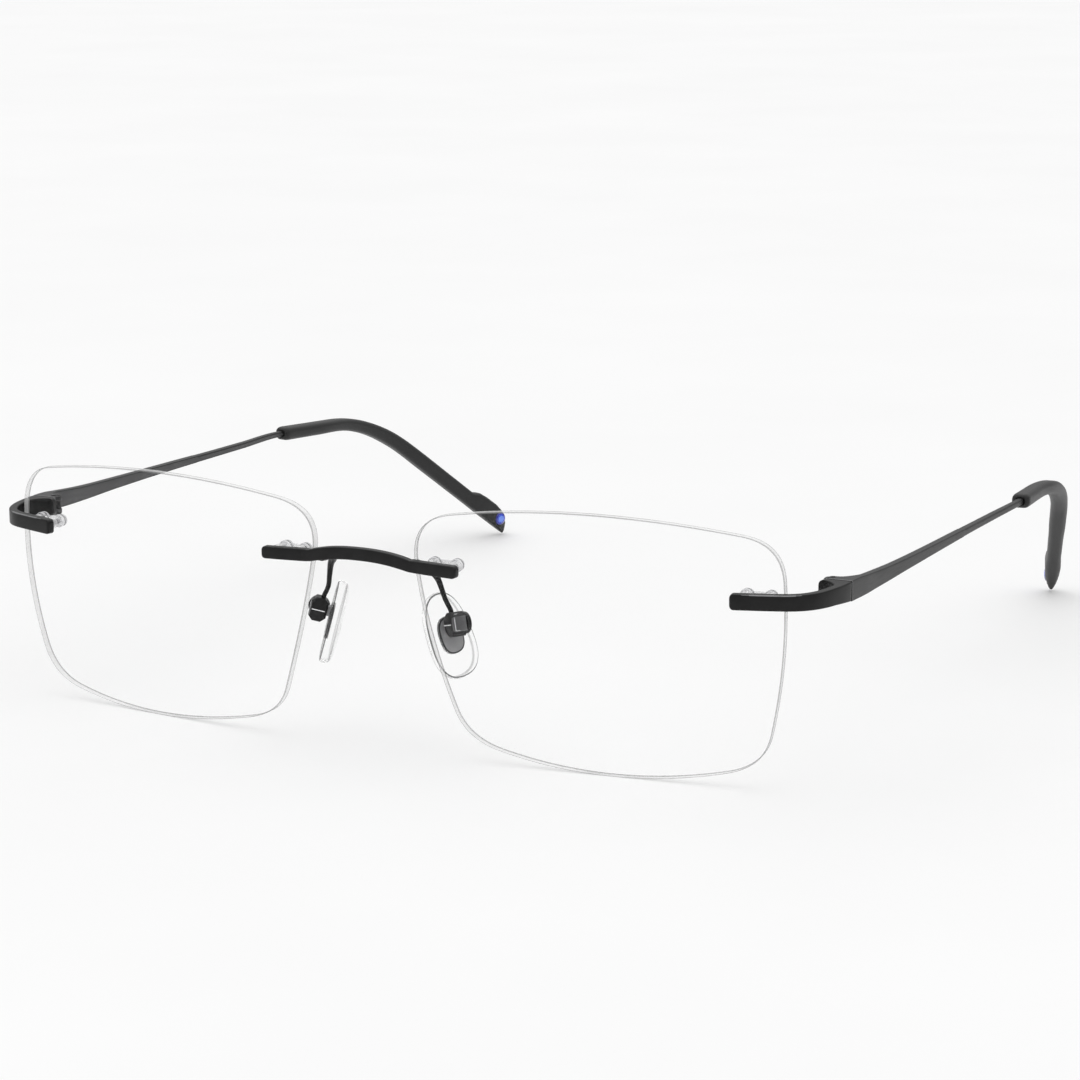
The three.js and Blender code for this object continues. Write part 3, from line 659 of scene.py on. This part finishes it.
def end_sizes(distance, height):
    """Thickness and height of a bar near its rounded end."""
    return round_end(BAR_THICKNESS, 0.3, distance), round_end(height, END_ROUND, distance)


def bar_section(thickness, height):
    return rounded(thickness, height, min(BAR_EDGE, thickness * 0.3, height * 0.3))


def bridge_solid():
    points, sections = [], []
    for distance in END_STEPS + list(np.linspace(1.2, 6.7, 12)):
        points.append(on_lens(-(BRIDGE_END + distance), BRIDGE_LEVEL, BAR_DEPTH))
        sections.append(bar_section(*end_sizes(distance, BRIDGE_HEIGHT)))
    for x in np.linspace(ARCH_START, 0, 20):
        rise = 1 - (x / BRIDGE_BEND) ** 2.3
        points.append(np.array([x, -1.05 + 0.15 * (x / ARCH_START) ** 2, 28.2 + 1.2 * rise]))
        sections.append(bar_section(BAR_THICKNESS, BRIDGE_HEIGHT - 0.12 * (x / ARCH_START) ** 8))
    mirrored = [p * (-1, 1, 1) for p in points[:-1]]
    return sweep(mirrored + points[::-1], sections[:-1] + sections[::-1])


# ------------------------------------------------------------ endpiece and hinge
SEAM_FRONT, SEAM_REAR = 15.39, 15.61
OUTER_FACE = 69.95
FLANGE_INNER = 65.25
FLANGE_EXTRA = OUTER_FACE - BAR_THICKNESS - FLANGE_INNER  # how far the flange reaches inwards
BEND_SHARE = 0.78  # how much of the endpiece's bend comes before the flange
SHAFT_RADIUS, HEAD_RADIUS, BORE_RADIUS, DRIVER_SLOT = 0.42, 0.72, 0.46, 0.24


def endpiece_solid():
    straight = list(np.linspace(1.2, 7.0, 12))
    points = [on_lens(ENDPIECE_END + d, ENDPIECE_LEVEL, BAR_DEPTH) for d in END_STEPS + straight]
    sections = [bar_section(*end_sizes(d, ENDPIECE_HEIGHT)) for d in END_STEPS]
    sections += [bar_section(BAR_THICKNESS, ENDPIECE_HEIGHT)] * len(straight)
    leave = points[-1]
    away = unit(points[-1] - points[-2])
    seam = np.array([OUTER_FACE - BAR_THICKNESS / 2, SEAM_FRONT, HINGE[2]])
    pulls = [leave, leave + away * 3.8, seam + np.array([-0.3, -7.0, 0]), seam]
    for t in np.linspace(0, BEND_SHARE, 22)[1:]:
        weights = [(1 - t) ** 3, 3 * t * (1 - t) ** 2, 3 * t * t * (1 - t), t**3]
        points.append(sum(w * p for w, p in zip(weights, pulls)))
        sections.append(bar_section(BAR_THICKNESS, ENDPIECE_HEIGHT + 0.4 * t**2))
    last = points[-1]
    fillet_start, fillet_end = last[1] + 0.35, SEAM_FRONT - 1.0
    for angle in np.linspace(math.pi / 2, 0, 14):
        y = fillet_start + (fillet_end - fillet_start) * math.cos(angle)
        extra = FLANGE_EXTRA * (1 - math.sin(angle))
        add_flange_station(points, sections, last, seam, y, extra)
    for before, shrink in ((0.5, 0), (0.1, 0), (0.04, 0.03), (0, 0.1)):
        add_flange_station(points, sections, last, seam, SEAM_FRONT - before, FLANGE_EXTRA, shrink)
    body = sweep(points, sections)
    size = len(sections[0])
    # Along its upper front edge, on a stretch that tapers at both ends, the bar is painted lighter as a
    # highlight.
    for i in range(9, 26):
        for j in (7, 8, 9) if 11 <= i <= 23 else (8,):
            body.slots[i * size + j] = 1
    low = [65.55, SEAM_FRONT - 0.55, HINGE[2] - 1.0]
    high = [68.45, SEAM_FRONT + 1, HINGE[2] + 1.0]
    return cut(body, block(low, high))


def add_flange_station(points, sections, last, seam, y, extra, shrink=0.0):
    """A section across the flange, whose outer face stays on the bar's curve."""
    share = (y - last[1]) / (seam[1] - last[1])
    middle = last + (seam - last) * share
    middle[0] = seam[0] - (seam[0] - last[0]) * (1 - share) ** 2
    middle[2] -= 0.12 * share
    grown = extra / FLANGE_EXTRA
    height = ENDPIECE_HEIGHT + 0.25 + 0.24 * share + 0.06 * grown - shrink
    width = BAR_THICKNESS + extra - shrink
    inner = BAR_EDGE + (0.75 - BAR_EDGE) * grown
    outline = rounded(width, height, [inner, BAR_EDGE, BAR_EDGE, inner])
    outline[:, 0] += extra / 2
    points.append(middle)
    sections.append(outline)


def tongue_solid():
    eye_radius, half = 0.82, 0.62
    leaf = block([65.6, SEAM_FRONT - 0.5, HINGE[2] - 0.95], [68.4, SEAM_FRONT, HINGE[2] + 0.95])
    low = [65.6, SEAM_FRONT - 0.4, HINGE[2] - half]
    arm = block(low, [HINGE[0] + eye_radius, HINGE[1], HINGE[2] + half])
    eye = peg("z", eye_radius, -half, half, HINGE, 48)
    bore = peg("z", BORE_RADIUS, -3, 3, HINGE)
    return bevelled(cut(join(leaf, arm, eye), bore), 0.05, 2)


def screw_solid(bottom, top, head_height):
    """A screw along y: a threaded shaft under a slotted head with a rounded rim."""
    shaft, head, root = SHAFT_RADIUS, HEAD_RADIUS, SHAFT_RADIUS - 0.06
    under = top - head_height
    profile = [(0.2, bottom), (root, bottom + 0.05)]
    for place in np.arange(bottom + 0.15, under - 0.2, 0.25):
        profile += [(shaft, place), (shaft, place + 0.05), (root, place + 0.12), (root, place + 0.18)]
    profile += [(shaft, under - 0.02), (head - 0.03, under), (head, under + 0.04), (head, top - 0.1)]
    profile += [(head - 0.03, top - 0.03), (head - 0.1, top), (0.1, top + 0.01)]
    slot = block([-2, top - head_height * 0.5, -DRIVER_SLOT / 2], [2, top + 1, DRIVER_SLOT / 2])
    return cut(lathe(profile, 36), slot)


def hinge_screw_solid():
    return moved(upright(screw_solid(-1.3, 1.3, 0.3)), *HINGE)


# ------------------------------------------------------------ temple
TEMPLE_ROWS = [  # x, y, z, thickness, height
    (69.45, SEAM_REAR, 27.45, 1.0, 2.98),
    (69.45, 17.0, 27.45, 1.05, 3.0),
    (69.43, 18.5, 27.43, 1.1, 3.0),
    (69.35, 21.0, 27.33, 1.2, 2.82),
    (69.22, 25.0, 27.22, 1.25, 2.5),
    (69.2, 30.0, 27.16, 1.25, 2.16),
    (69.2, 35.0, 27.18, 1.25, 1.88),
    (69.15, 41.0, 27.19, 1.25, 1.65),
    (69.05, 48.0, 27.2, 1.25, 1.44),
    (68.92, 55.0, 27.2, 1.25, 1.28),
    (68.75, 63.0, 27.17, 1.22, 1.14),
    (68.6, 74.0, 27.14, 1.15, 1.05),
    (68.45, 86.6, 27.1, 1.0, 0.95),
    (68.28, 88.0, 27.03, 1.0, 0.92),
]
FORK_RADIUS = 0.92
FORK_BACK = HINGE[1] + FORK_RADIUS
FORK_FILLET_END = 21.6
FORK_SLOT_HALF = 0.68
FORK_SLOT_RADIUS = 0.95
HEAD_POCKET_RADIUS, HEAD_POCKET_FLOOR = 0.78, 0.96


def temple_solid():
    rows = smooth(TEMPLE_ROWS, 240)
    stations = []  # y, where the inner face lies, and how much the rim is pulled in
    for shrink, y in ((0.16, SEAM_REAR), (0.05, SEAM_REAR + 0.06), (0.0, SEAM_REAR + 0.16)):
        reach = math.sqrt(max(FORK_RADIUS**2 - (y - HINGE[1]) ** 2, 0))
        stations.append((y, HINGE[0] - reach, shrink))
    for angle in np.linspace(-0.85, 1.25, 12):
        y = HINGE[1] + FORK_RADIUS * math.sin(angle)
        stations.append((y, HINGE[0] - FORK_RADIUS * math.cos(angle), 0.0))
    for angle in np.linspace(0.12, math.pi / 2, 16):
        y = FORK_BACK + (FORK_FILLET_END - FORK_BACK) * (1 - math.cos(angle))
        bar_inner = np.interp(y, rows[:, 1], rows[:, 0] - rows[:, 3] / 2)
        stations.append((y, bar_inner - (bar_inner - HINGE[0] - 0.15) * (1 - math.sin(angle)), 0.0))
    rail = [s[0] for s in stations] + [y for y in rows[:, 1] if y > FORK_FILLET_END + 0.3]
    rings = []
    for i, y in enumerate(rail):
        x, z, thick, high = (np.interp(y, rows[:, 1], rows[:, k]) for k in (0, 2, 3, 4))
        outer = min(x + thick / 2, OUTER_FACE)
        inner = stations[i][1] if i < len(stations) else x - thick / 2
        shrink = stations[i][2] if i < len(stations) else 0.0
        width = outer - inner - shrink
        grown = np.clip((width - thick) / 2.5, 0, 1)
        edge = 0.2 if y < 60 else 0.3
        soft = edge + 0.3 * grown
        outline = rounded(width, high - shrink, [soft, edge, edge, soft])
        centre = (outer + inner) / 2
        flat = np.full(len(outline), y)
        rings.append(np.column_stack([centre - outline[:, 0], flat, z + outline[:, 1]]))
    # The end face and first ring at the seam are painted near-black as shade in the gap, and the next ring
    # light as a highlight on its bevel.
    body = loft(rings, [3, 1] + [0] * (len(rings) - 2))
    size = len(rings[0])
    # The flat inner face is painted lighter than the outer faces, as its lit side.
    for i in range(2, len(rings) - 1):  # the flat inner face
        body.slots[i * size + size - 1] = 2
    low = HINGE - (5, 5, FORK_SLOT_HALF)
    slot = block(low, HINGE + (FORK_SLOT_RADIUS, FORK_SLOT_RADIUS, FORK_SLOT_HALF))
    pocket = peg("z", HEAD_POCKET_RADIUS, HEAD_POCKET_FLOOR, 3, HINGE, 48)
    bore = peg("z", BORE_RADIUS, -3, 3, HINGE)
    return cut(body, slot, pocket, bore)


# ------------------------------------------------------------ ear tip
TIP_START = np.array([68.45, 86.6, 27.1])
BEND_START = np.array([66.75, 99.0, 26.5])
BEND_APEX = np.array([66.7, 110.6, 26.3])
BEND_END = np.array([63.3, 119.6, 19.7])
TIP_END = np.array([54.2, 142.2, 1.1])
TIP_SIZES = [  # place along the tip, thickness, reach below and above the centre line, corner radius
    (0.0, 2.95, 1.16, 1.16, 0.95),
    (0.13, 2.92, 1.13, 1.13, 0.95),
    (0.24, 2.8, 1.08, 1.08, 0.9),
    (0.36, 2.75, 1.13, 1.13, 0.9),
    (0.5, 2.8, 1.28, 1.28, 0.95),
    (0.62, 2.75, 1.33, 1.33, 0.95),
    (0.72, 2.5, 1.32, 1.32, 0.9),
    (0.825, 2.42, 1.3, 1.3, 0.85),
    (0.858, 2.6, 1.3, 2.1, 0.9),
    (0.885, 2.7, 1.3, 2.25, 0.9),
    (0.925, 2.5, 1.3, 2.3, 0.9),
    (0.945, 2.2, 1.3, 2.15, 0.8),
    (0.97, 1.7, 1.3, 1.7, 0.6),
    (0.985, 1.15, 1.3, 0.8, 0.4),
    (1.0, 0.5, 1.3, -0.6, 0.2),
]
TIP_BLUR = 12  # points to either side over which the bends of the centre line are eased
INLAY_ALONG, INLAY_RADIUS, INLAY_LIFT = 0.957, 1.2, 0.45
INLAY_SINK, INLAY_GAP = -0.5, 0.06


def tip_path():
    """Points along the tip's centre line, and how far along it each lies, in mm."""
    one = TIP_START + np.linspace(0, 1, 60, endpoint=False)[:, None] * (BEND_START - TIP_START)
    two = bezier(BEND_START, BEND_APEX, BEND_END, 90)
    three = BEND_END + np.linspace(0, 1, 160)[:, None] * (TIP_END - BEND_END)
    points = np.vstack([one, two, three])
    reach = path_reach(points)
    even = np.linspace(0, reach[-1], 300)
    points = np.column_stack([np.interp(even, reach, points[:, k]) for k in range(3)])
    blurred = points.copy()
    for i in range(TIP_BLUR, len(points) - TIP_BLUR):
        blurred[i] = points[i - TIP_BLUR:i + TIP_BLUR + 1].mean(axis=0)
    return blurred, path_reach(blurred)


TIP_POINTS, TIP_REACH = tip_path()
TIP_LENGTH = TIP_REACH[-1]


def along_tip(share):
    return np.array([np.interp(share * TIP_LENGTH, TIP_REACH, TIP_POINTS[:, k]) for k in range(3)])


def tip_frame(share):
    """A point on the tip's centre line, and the directions inward and upright there."""
    along = unit(along_tip(min(share + 0.004, 1)) - along_tip(share - 0.004))
    inward = unit(np.cross([0, 0, 1], along))
    return along_tip(share), inward, np.cross(along, inward)


def tip_section(share):
    """The tip's outline at a place along it, about its centre line."""
    width, below, above, radius = eased(share, TIP_SIZES)
    outline = rounded(width, above + below, radius, 7)
    outline[:, 1] += (above - below) / 2
    return outline


def tip_solid():
    # The mouth's lip turns in round the bar: each row is a place in mm and a share of the full size.
    mouth = [
        (1.3, 0.36), (0.35, 0.38), (0.1, 0.44), (0.0, 0.52), (0.02, 0.64), (0.12, 0.78), (0.3, 0.9),
        (0.6, 0.97), (1.0, 1.0),
    ]
    shares = [distance / TIP_LENGTH for distance, _ in mouth]
    _, width, below, _, radius = TIP_SIZES[0]
    full = rounded(width, 2 * below, radius, 7)
    sections = [full * size for _, size in mouth]
    body_shares = list(np.linspace(1.5 / TIP_LENGTH, 0.998, 170))
    sections += [tip_section(share) for share in body_shares]
    rings = []
    for share, section in zip(shares + body_shares, sections):
        _, inward, upwards = tip_frame(min(max(share, 0.006), 0.995))
        rings.append(along_tip(share) + section[:, :1] * inward + section[:, 1:] * upwards)
    recess = inlay_disc([(INLAY_RADIUS + INLAY_GAP, INLAY_SINK), (INLAY_RADIUS + INLAY_GAP, 1.5)])
    body = cut(loft(rings), recess)
    body.points[:, 2] = np.maximum(body.points[:, 2], 0.0)
    return body


def inlay_disc(profile, slots=None):
    """A shape turned about the line out of the tip's inner face. Place 0 lies on that face."""
    origin, inward, upwards = tip_frame(INLAY_ALONG)
    face = origin + upwards * INLAY_LIFT + inward * eased(INLAY_ALONG, TIP_SIZES)[0] / 2
    turn = Vector((0, 1, 0)).rotation_difference(Vector(inward)).to_matrix().to_4x4()
    return lathe(profile, 48, slots=slots).under(Matrix.Translation(face) @ turn)


def inlay_solid():
    r = INLAY_RADIUS
    profile = [
        (0.3, INLAY_SINK), (r, INLAY_SINK), (r, 0.0), (r - 0.03, 0.07), (r * 0.85, 0.17), (r * 0.72, 0.24),
        (r * 0.5, 0.3), (r * 0.3, 0.34), (0.03, 0.355),
    ]
    # The rings nearest the dome's top are painted lighter blue as a highlight, the middle band less so.
    return inlay_disc(profile, [0, 0, 0, 0, 0, 1, 2, 2, 2])


# ------------------------------------------------------------ nose arm and pad
ARM_ROWS = [  # x, y, z, width, thickness
    (6.9, -0.55, 28.4, 1.9, 1.5),
    (6.92, 0.3, 28.2, 1.6, 1.35),
    (6.95, 1.2, 28.1, 1.45, 1.2),
    (7.0, 2.3, 28.0, 1.4, 1.1),
    (7.2, 3.3, 27.75, 1.34, 1.02),
    (7.6, 4.2, 27.3, 1.26, 0.98),
    (8.1, 4.85, 26.75, 1.16, 0.94),
    (8.68, 5.3, 26.1, 1.02, 0.88),
    (9.0, 5.6, 25.5, 0.92, 0.84),
    (9.22, 5.82, 24.9, 0.85, 0.8),
    (9.4, 5.98, 24.2, 0.79, 0.76),
    (9.6, 6.15, 23.4, 0.74, 0.73),
    (9.87, 6.35, 22.3, 0.71, 0.7),
    (10.3, 6.45, 21.4, 0.7, 0.69),
    (10.7, 6.46, 20.7, 0.7, 0.69),
    (11.0, 6.45, 19.8, 0.68, 0.67),
]
PAD_PIVOT = np.array([11.7, 6.35, 18.6])
PAD_WIDTH_AXIS = unit([0.5, 0.866, 0])
PAD_AWAY = unit(np.cross(PAD_WIDTH_AXIS, [-0.284, 0.013, 0.959]))
PAD_UP = np.cross(PAD_AWAY, PAD_WIDTH_AXIS)
PAD_FRAME = np.eye(4)
PAD_FRAME[:3, :3] = np.column_stack([PAD_WIDTH_AXIS, PAD_UP, PAD_AWAY])
PAD_FRAME[:3, 3] = PAD_PIVOT
PAD_BACK, PAD_DROP = -1.75, -1.45  # the pad's back face and its middle, from the pivot
PAD_LEAN = math.radians(13)  # how far its lower end is turned back in its own plane
PLATE_WIDTH, PLATE_LENGTH, PLATE_DEPTH = 3.8, 5.6, 0.58
STEM_HALF, STEM_RADIUS = 0.74, 0.9


def arm_solid():
    rows = smooth(ARM_ROWS, 90)
    sections = [rounded(w, t, 0.46 * min(w, t), 6) for w, t in rows[:, 3:5]]
    return sweep(rows[:, :3], sections, up=(0, 1, 0))


def egg(width, length, narrowing, points=96):
    """An oval that is a little narrower at its top."""
    turns = np.linspace(0, 2 * math.pi, points, endpoint=False)
    c, s = np.cos(turns), np.sin(turns)
    squared = 1 + 0.07 * np.sin(2 * turns) ** 2
    return np.column_stack([width / 2 * c * squared * (1 - narrowing * s), length / 2 * s * squared])


# The rim rings at these depths are painted darker as the shaded outline of the clear pad.
RIM_SLOTS = {-0.13: 1, -1.42: 2}  # depth at which a ring of the rim starts, and its slot


def leaning(outline):
    """An outline about the pad's middle, leaning in the pad's plane."""
    c, s = math.cos(PAD_LEAN), math.sin(PAD_LEAN)
    return outline @ np.array([[c, s], [-s, c]])


def pad_solid():
    outline = leaning(egg(7.5, 13.1, 0.12))
    reach = np.linalg.norm(outline, axis=1, keepdims=True)
    # Each row is a share of the outline, an inset from it and a depth from the pad's back face.
    rows = [
        (0.05, 0, 0.0), (0.35, 0, 0.0), (0.6, 0, 0.0), (0.8, 0, -0.01), (1, 0.62, -0.05), (1, 0.34, -0.13),
        (1, 0.13, -0.3), (1, 0.02, -0.55), (1, 0.0, -0.85), (1, 0.06, -1.15), (1, 0.2, -1.42),
        (1, 0.45, -1.66), (1, 0.8, -1.84), (0.78, 0, -1.98), (0.6, 0, -2.08), (0.35, 0, -2.16),
        (0.05, 0, -2.2),
    ]
    rings = []
    for share, inset, depth in rows:
        flat = outline * (share - inset / reach)
        level = np.full(len(flat), PAD_BACK + depth)
        rings.append(np.column_stack([flat[:, 0], flat[:, 1] + PAD_DROP, level]))
    slots = [RIM_SLOTS.get(depth, 0) for _, _, depth in rows]
    recess = plate_disc(0.06, PAD_BACK - PLATE_DEPTH - 0.04, PAD_BACK + 1)
    return cut(loft(rings, slots), recess).under(PAD_FRAME)


def plate_disc(extra, low, high, edge=0.0, slots=None):
    """A slab of the plate's outline, grown by extra, with its upper edge bevelled if edge is given."""
    outline = leaning(egg(PLATE_WIDTH + 2 * extra, PLATE_LENGTH + 2 * extra, 0.05, 72))
    reach = np.linalg.norm(outline, axis=1, keepdims=True)
    rows = [(0, low), (0, high)]
    if edge:
        rows = [(0, low), (0, high - edge), (edge, high), (3 * edge, high)]
    rings = []
    for inset, z in rows:
        flat = outline * (1 - inset / reach)
        rings.append(np.column_stack([flat[:, 0], flat[:, 1] + PAD_DROP, np.full(len(flat), z)]))
    return loft(rings, slots)


def plate_solid():
    # The plate's sides, bevel and underside are painted dark as shade round its grey face.
    plate = plate_disc(0, PAD_BACK - PLATE_DEPTH, PAD_BACK, 0.08, [1, 1, 1, 0])
    stem = block([-STEM_HALF, -0.7, PAD_BACK - 0.3], [STEM_HALF, 0.7, 0])
    eye = peg("x", STEM_RADIUS, -STEM_HALF, STEM_HALF, (0, 0, 0), 40)
    bore = peg("x", BORE_RADIUS, -3, 3, (0, 0, 0))
    return bevelled(cut(join(plate, stem, eye), bore), 0.04, 2, 40).under(PAD_FRAME)


def box_ring(x, height, depth, chamfer, gable=0.0):
    """An eight-sided ring of the box at a place across it. gable moves its mid-height corners along x."""
    h, d, c = height / 2, depth / 2, chamfer
    corners = [
        (d, h - c), (d - c, h), (0, h), (c - d, h), (-d, h - c), (-d, 0), (-d, c - h), (c - d, -h),
        (0, -h), (d - c, -h), (d, c - h), (d, 0),
    ]
    return np.array([(x + gable * (1 - abs(y) / h), y, z) for z, y in corners])


def box_solid():
    """An eight-sided block that is ridged like a roof at one end and has a round ear at the other."""
    rings = [box_ring(-1.27, 2.5, 1.7, 0.5, -0.22), box_ring(-1.21, 3.2, 2.3, 0.62, -0.16)]
    rings += [box_ring(x, 3.62, 2.66, 0.7) for x in (-1.0, 0.0, 1.02)]
    shell = loft(rings, [2] * len(rings))
    size = len(rings[0])
    # The side that faces away from the pad is painted grey as a lit side; the rest stays near-black.
    for i in range(1, len(rings) - 1):  # the grey side that faces away from the pad
        shell.slots[i * size + size - 2] = shell.slots[i * size + size - 1] = 0
    block_part = bevelled(shell, 0.07, 2, 24)
    ear = peg("x", 1.62, 1.1, 1.78, (0, 0.05, -0.05), 56).painted(2)
    neck = peg("x", 1.3, 0.9, 1.2, (0, 0, 0), 40).painted(2)
    channel = block([-0.95, -1.5, -3], [0.95, 1.5, 0.98])
    bore = peg("x", BORE_RADIUS, -1.2, 4, (0, 0, 0))
    # Thin raised strips painted light as highlight lines: one across the ridged end at mid-height, two on
    # the side facing away from the pad.
    ridge = block([-1.55, -0.06, -0.95], [-1.0, 0.08, 1.0]).painted(1)
    edge_line = block([-0.98, -0.95, 1.2], [-0.87, 1.0, 1.37]).painted(1)
    cross_line = block([-0.9, -1.0, 1.2], [-0.25, -0.91, 1.36]).painted(1)
    body = join(block_part, neck, bevelled(ear, 0.12, 3, 40), ridge, edge_line, cross_line)
    return cut(body, channel, bore).under(PAD_FRAME)


def pad_screw_solid():
    made = screw_solid(-1.15, 2.1, 0.28)
    return made.under(Matrix.Rotation(-math.pi / 2, 4, "Z")).under(PAD_FRAME)


# ------------------------------------------------------------ the pieces
piece("bridge", bridge_solid(), "frame", "front", "bridge_bar")
spots = pin_spots()
shapes = {
    "lens": lens_solid(),
    "bridge_sleeve": sleeve_solid(spots[:2]),
    "endpiece_sleeve": sleeve_solid(spots[2:]),
    "bridge_inner_pin": pin_solid(*spots[0]),
    "bridge_outer_pin": pin_solid(*spots[1]),
    "endpiece_inner_pin": pin_solid(*spots[2]),
    "endpiece_outer_pin": pin_solid(*spots[3]),
    "endpiece": endpiece_solid(),
    "hinge_tongue": tongue_solid(),
    "hinge_screw": hinge_screw_solid(),
    "temple_bar": temple_solid(),
    "temple_tip": tip_solid(),
    "tip_inlay": inlay_solid(),
    "nose_arm": arm_solid(),
    "pad_box": box_solid(),
    "pad_screw": pad_screw_solid(),
    "pad_plate": plate_solid(),
    "nose_pad": pad_solid(),
}
ROLES = {  # node: look, body, material slot, and the angle from which an edge is drawn sharp
    "lens": ("lens", "front", "lens", 50),
    "bridge_sleeve": ("sleeve", "front", "sleeve", 40),
    "endpiece_sleeve": ("sleeve", "front", "sleeve", 40),
    "bridge_inner_pin": ("pin", "front", "pin_metal", 40),
    "bridge_outer_pin": ("pin", "front", "pin_metal", 40),
    "endpiece_inner_pin": ("pin", "front", "pin_metal", 40),
    "endpiece_outer_pin": ("pin", "front", "pin_metal", 40),
    "endpiece": ("frame", "front", "frame_metal", 35),
    "hinge_tongue": ("frame", "front", "frame_metal", 35),
    "hinge_screw": ("pin", "temple", "pin_metal", 40),
    "temple_bar": ("temple", "temple", "temple_metal", 35),
    "temple_tip": ("tip", "temple", "tip_rubber", 60),
    "tip_inlay": ("inlay", "temple", "inlay", 50),
    "nose_arm": ("frame", "front", "frame_metal", 50),
    "pad_box": ("box", "front", "box_metal", 35),
    "pad_screw": ("pin", "front", "pin_metal", 40),
    "pad_plate": ("plate", "nose_pad", "plate_metal", 40),
    "nose_pad": ("pad", "nose_pad", "nose_pad", 60),
}
for side_name, side in SIDES:
    for part, (look, body, slot, sharp) in ROLES.items():
        node = f"{part}_{side_name}"
        rides_on = body if body == "front" else f"{body}_{side_name}"
        piece(f"shown_{node}", shapes[part], look, rides_on, node, side, sharp)


# ------------------------------------------------------------ floor, light, camera
FLOOR_HALF, FLOOR_DROP = 6.0, 0.00002  # metres; the drop keeps the floor clear of what stands on it
IMAGE_SIDE, FOCAL_PIXELS, SENSOR = 1080, 3472.49, 36.0
CAMERA_TARGET = (29.0, SHIFT_Y, 33.968)  # mm
CAMERA_DISTANCE = 487.92  # mm
CAMERA_ANGLES = (28.043, 12.141, -0.47)  # azimuth, elevation and roll in degrees


def floor():
    """A wide pale table top with a very faint mottle."""
    look = Look("floor_white", Roughness=0.6, Specular_IOR_Level=0.1)
    mottle = look.noise(0.01, 3.0)
    look.feed("Base Color", look.ramp(mottle, 0.3, 0.7, (0.9, 0.9, 0.9), (0.92, 0.92, 0.92)))
    corners = [(x * FLOOR_HALF, y * FLOOR_HALF, 0) for x, y in ((-1, -1), (1, -1), (1, 1), (-1, 1))]
    mesh = bpy.data.meshes.new("floor")
    mesh.from_pydata(corners, [], [(0, 1, 2, 3)])
    mesh.materials.append(look.material)
    made = bpy.data.objects.new("floor", mesh)
    made.location.z = -FLOOR_DROP
    bpy.context.scene.collection.objects.link(made)


def sun(name, strength, direction, angle):
    """A soft light that shines from a direction."""
    data = bpy.data.lights.new(name, "SUN")
    data.energy = strength
    data.angle = math.radians(angle)
    made = bpy.data.objects.new(name, data)
    towards = Vector(direction).normalized()
    made.location = towards
    made.rotation_mode = "QUATERNION"
    made.rotation_quaternion = towards.to_track_quat("Z", "Y")
    bpy.context.scene.collection.objects.link(made)


def sky(horizon, zenith):
    """A white studio dome, brightest overhead."""
    world = bpy.data.worlds.new("studio")
    bpy.context.scene.world = world
    world.use_nodes = True
    tree = world.node_tree
    tree.nodes.clear()
    where = tree.nodes.new("ShaderNodeTexCoord")
    height = tree.nodes.new("ShaderNodeSeparateXYZ")
    blend = tree.nodes.new("ShaderNodeMapRange")
    blend.interpolation_type = "SMOOTHSTEP"
    dome = tree.nodes.new("ShaderNodeBackground")
    out = tree.nodes.new("ShaderNodeOutputWorld")
    for socket, value in (("From Min", 0.0), ("From Max", 0.9), ("To Min", horizon), ("To Max", zenith)):
        blend.inputs[socket].default_value = value
    tree.links.new(where.outputs["Generated"], height.inputs[0])
    tree.links.new(height.outputs["Z"], blend.inputs["Value"])
    tree.links.new(blend.outputs["Result"], dome.inputs["Strength"])
    tree.links.new(dome.outputs[0], out.inputs[0])
    dome.inputs["Color"].default_value = (1, 1, 1, 1)


def camera():
    """Looks at the glasses from the photograph's angle."""
    azimuth, elevation, roll = (math.radians(angle) for angle in CAMERA_ANGLES)
    level = math.cos(elevation)
    back = np.array([math.sin(azimuth) * level, -math.cos(azimuth) * level, math.sin(elevation)])
    right = unit(np.cross(-back, [0, 0, 1]))
    up = np.cross(right, -back)
    turned_right = right * math.cos(roll) + up * math.sin(roll)
    turned_up = up * math.cos(roll) - right * math.sin(roll)
    data = bpy.data.cameras.new("camera")
    data.sensor_width = SENSOR
    data.lens = SENSOR * FOCAL_PIXELS / IMAGE_SIDE
    data.clip_start, data.clip_end = 0.01, 50
    made = bpy.data.objects.new("camera", data)
    matrix = np.eye(4)
    matrix[:3, :3] = np.column_stack([turned_right, turned_up, back])
    matrix[:3, 3] = (np.array(CAMERA_TARGET) + back * CAMERA_DISTANCE) * MM
    made.matrix_world = Matrix(matrix.tolist())
    bpy.context.scene.collection.objects.link(made)
    bpy.context.scene.camera = made


floor()
sky(0.35, 1.1)
sun("key", 0.55, (-0.35, 0.35, 1.0), 80)
camera()
bpy.context.scene.view_settings.view_transform = "Standard"
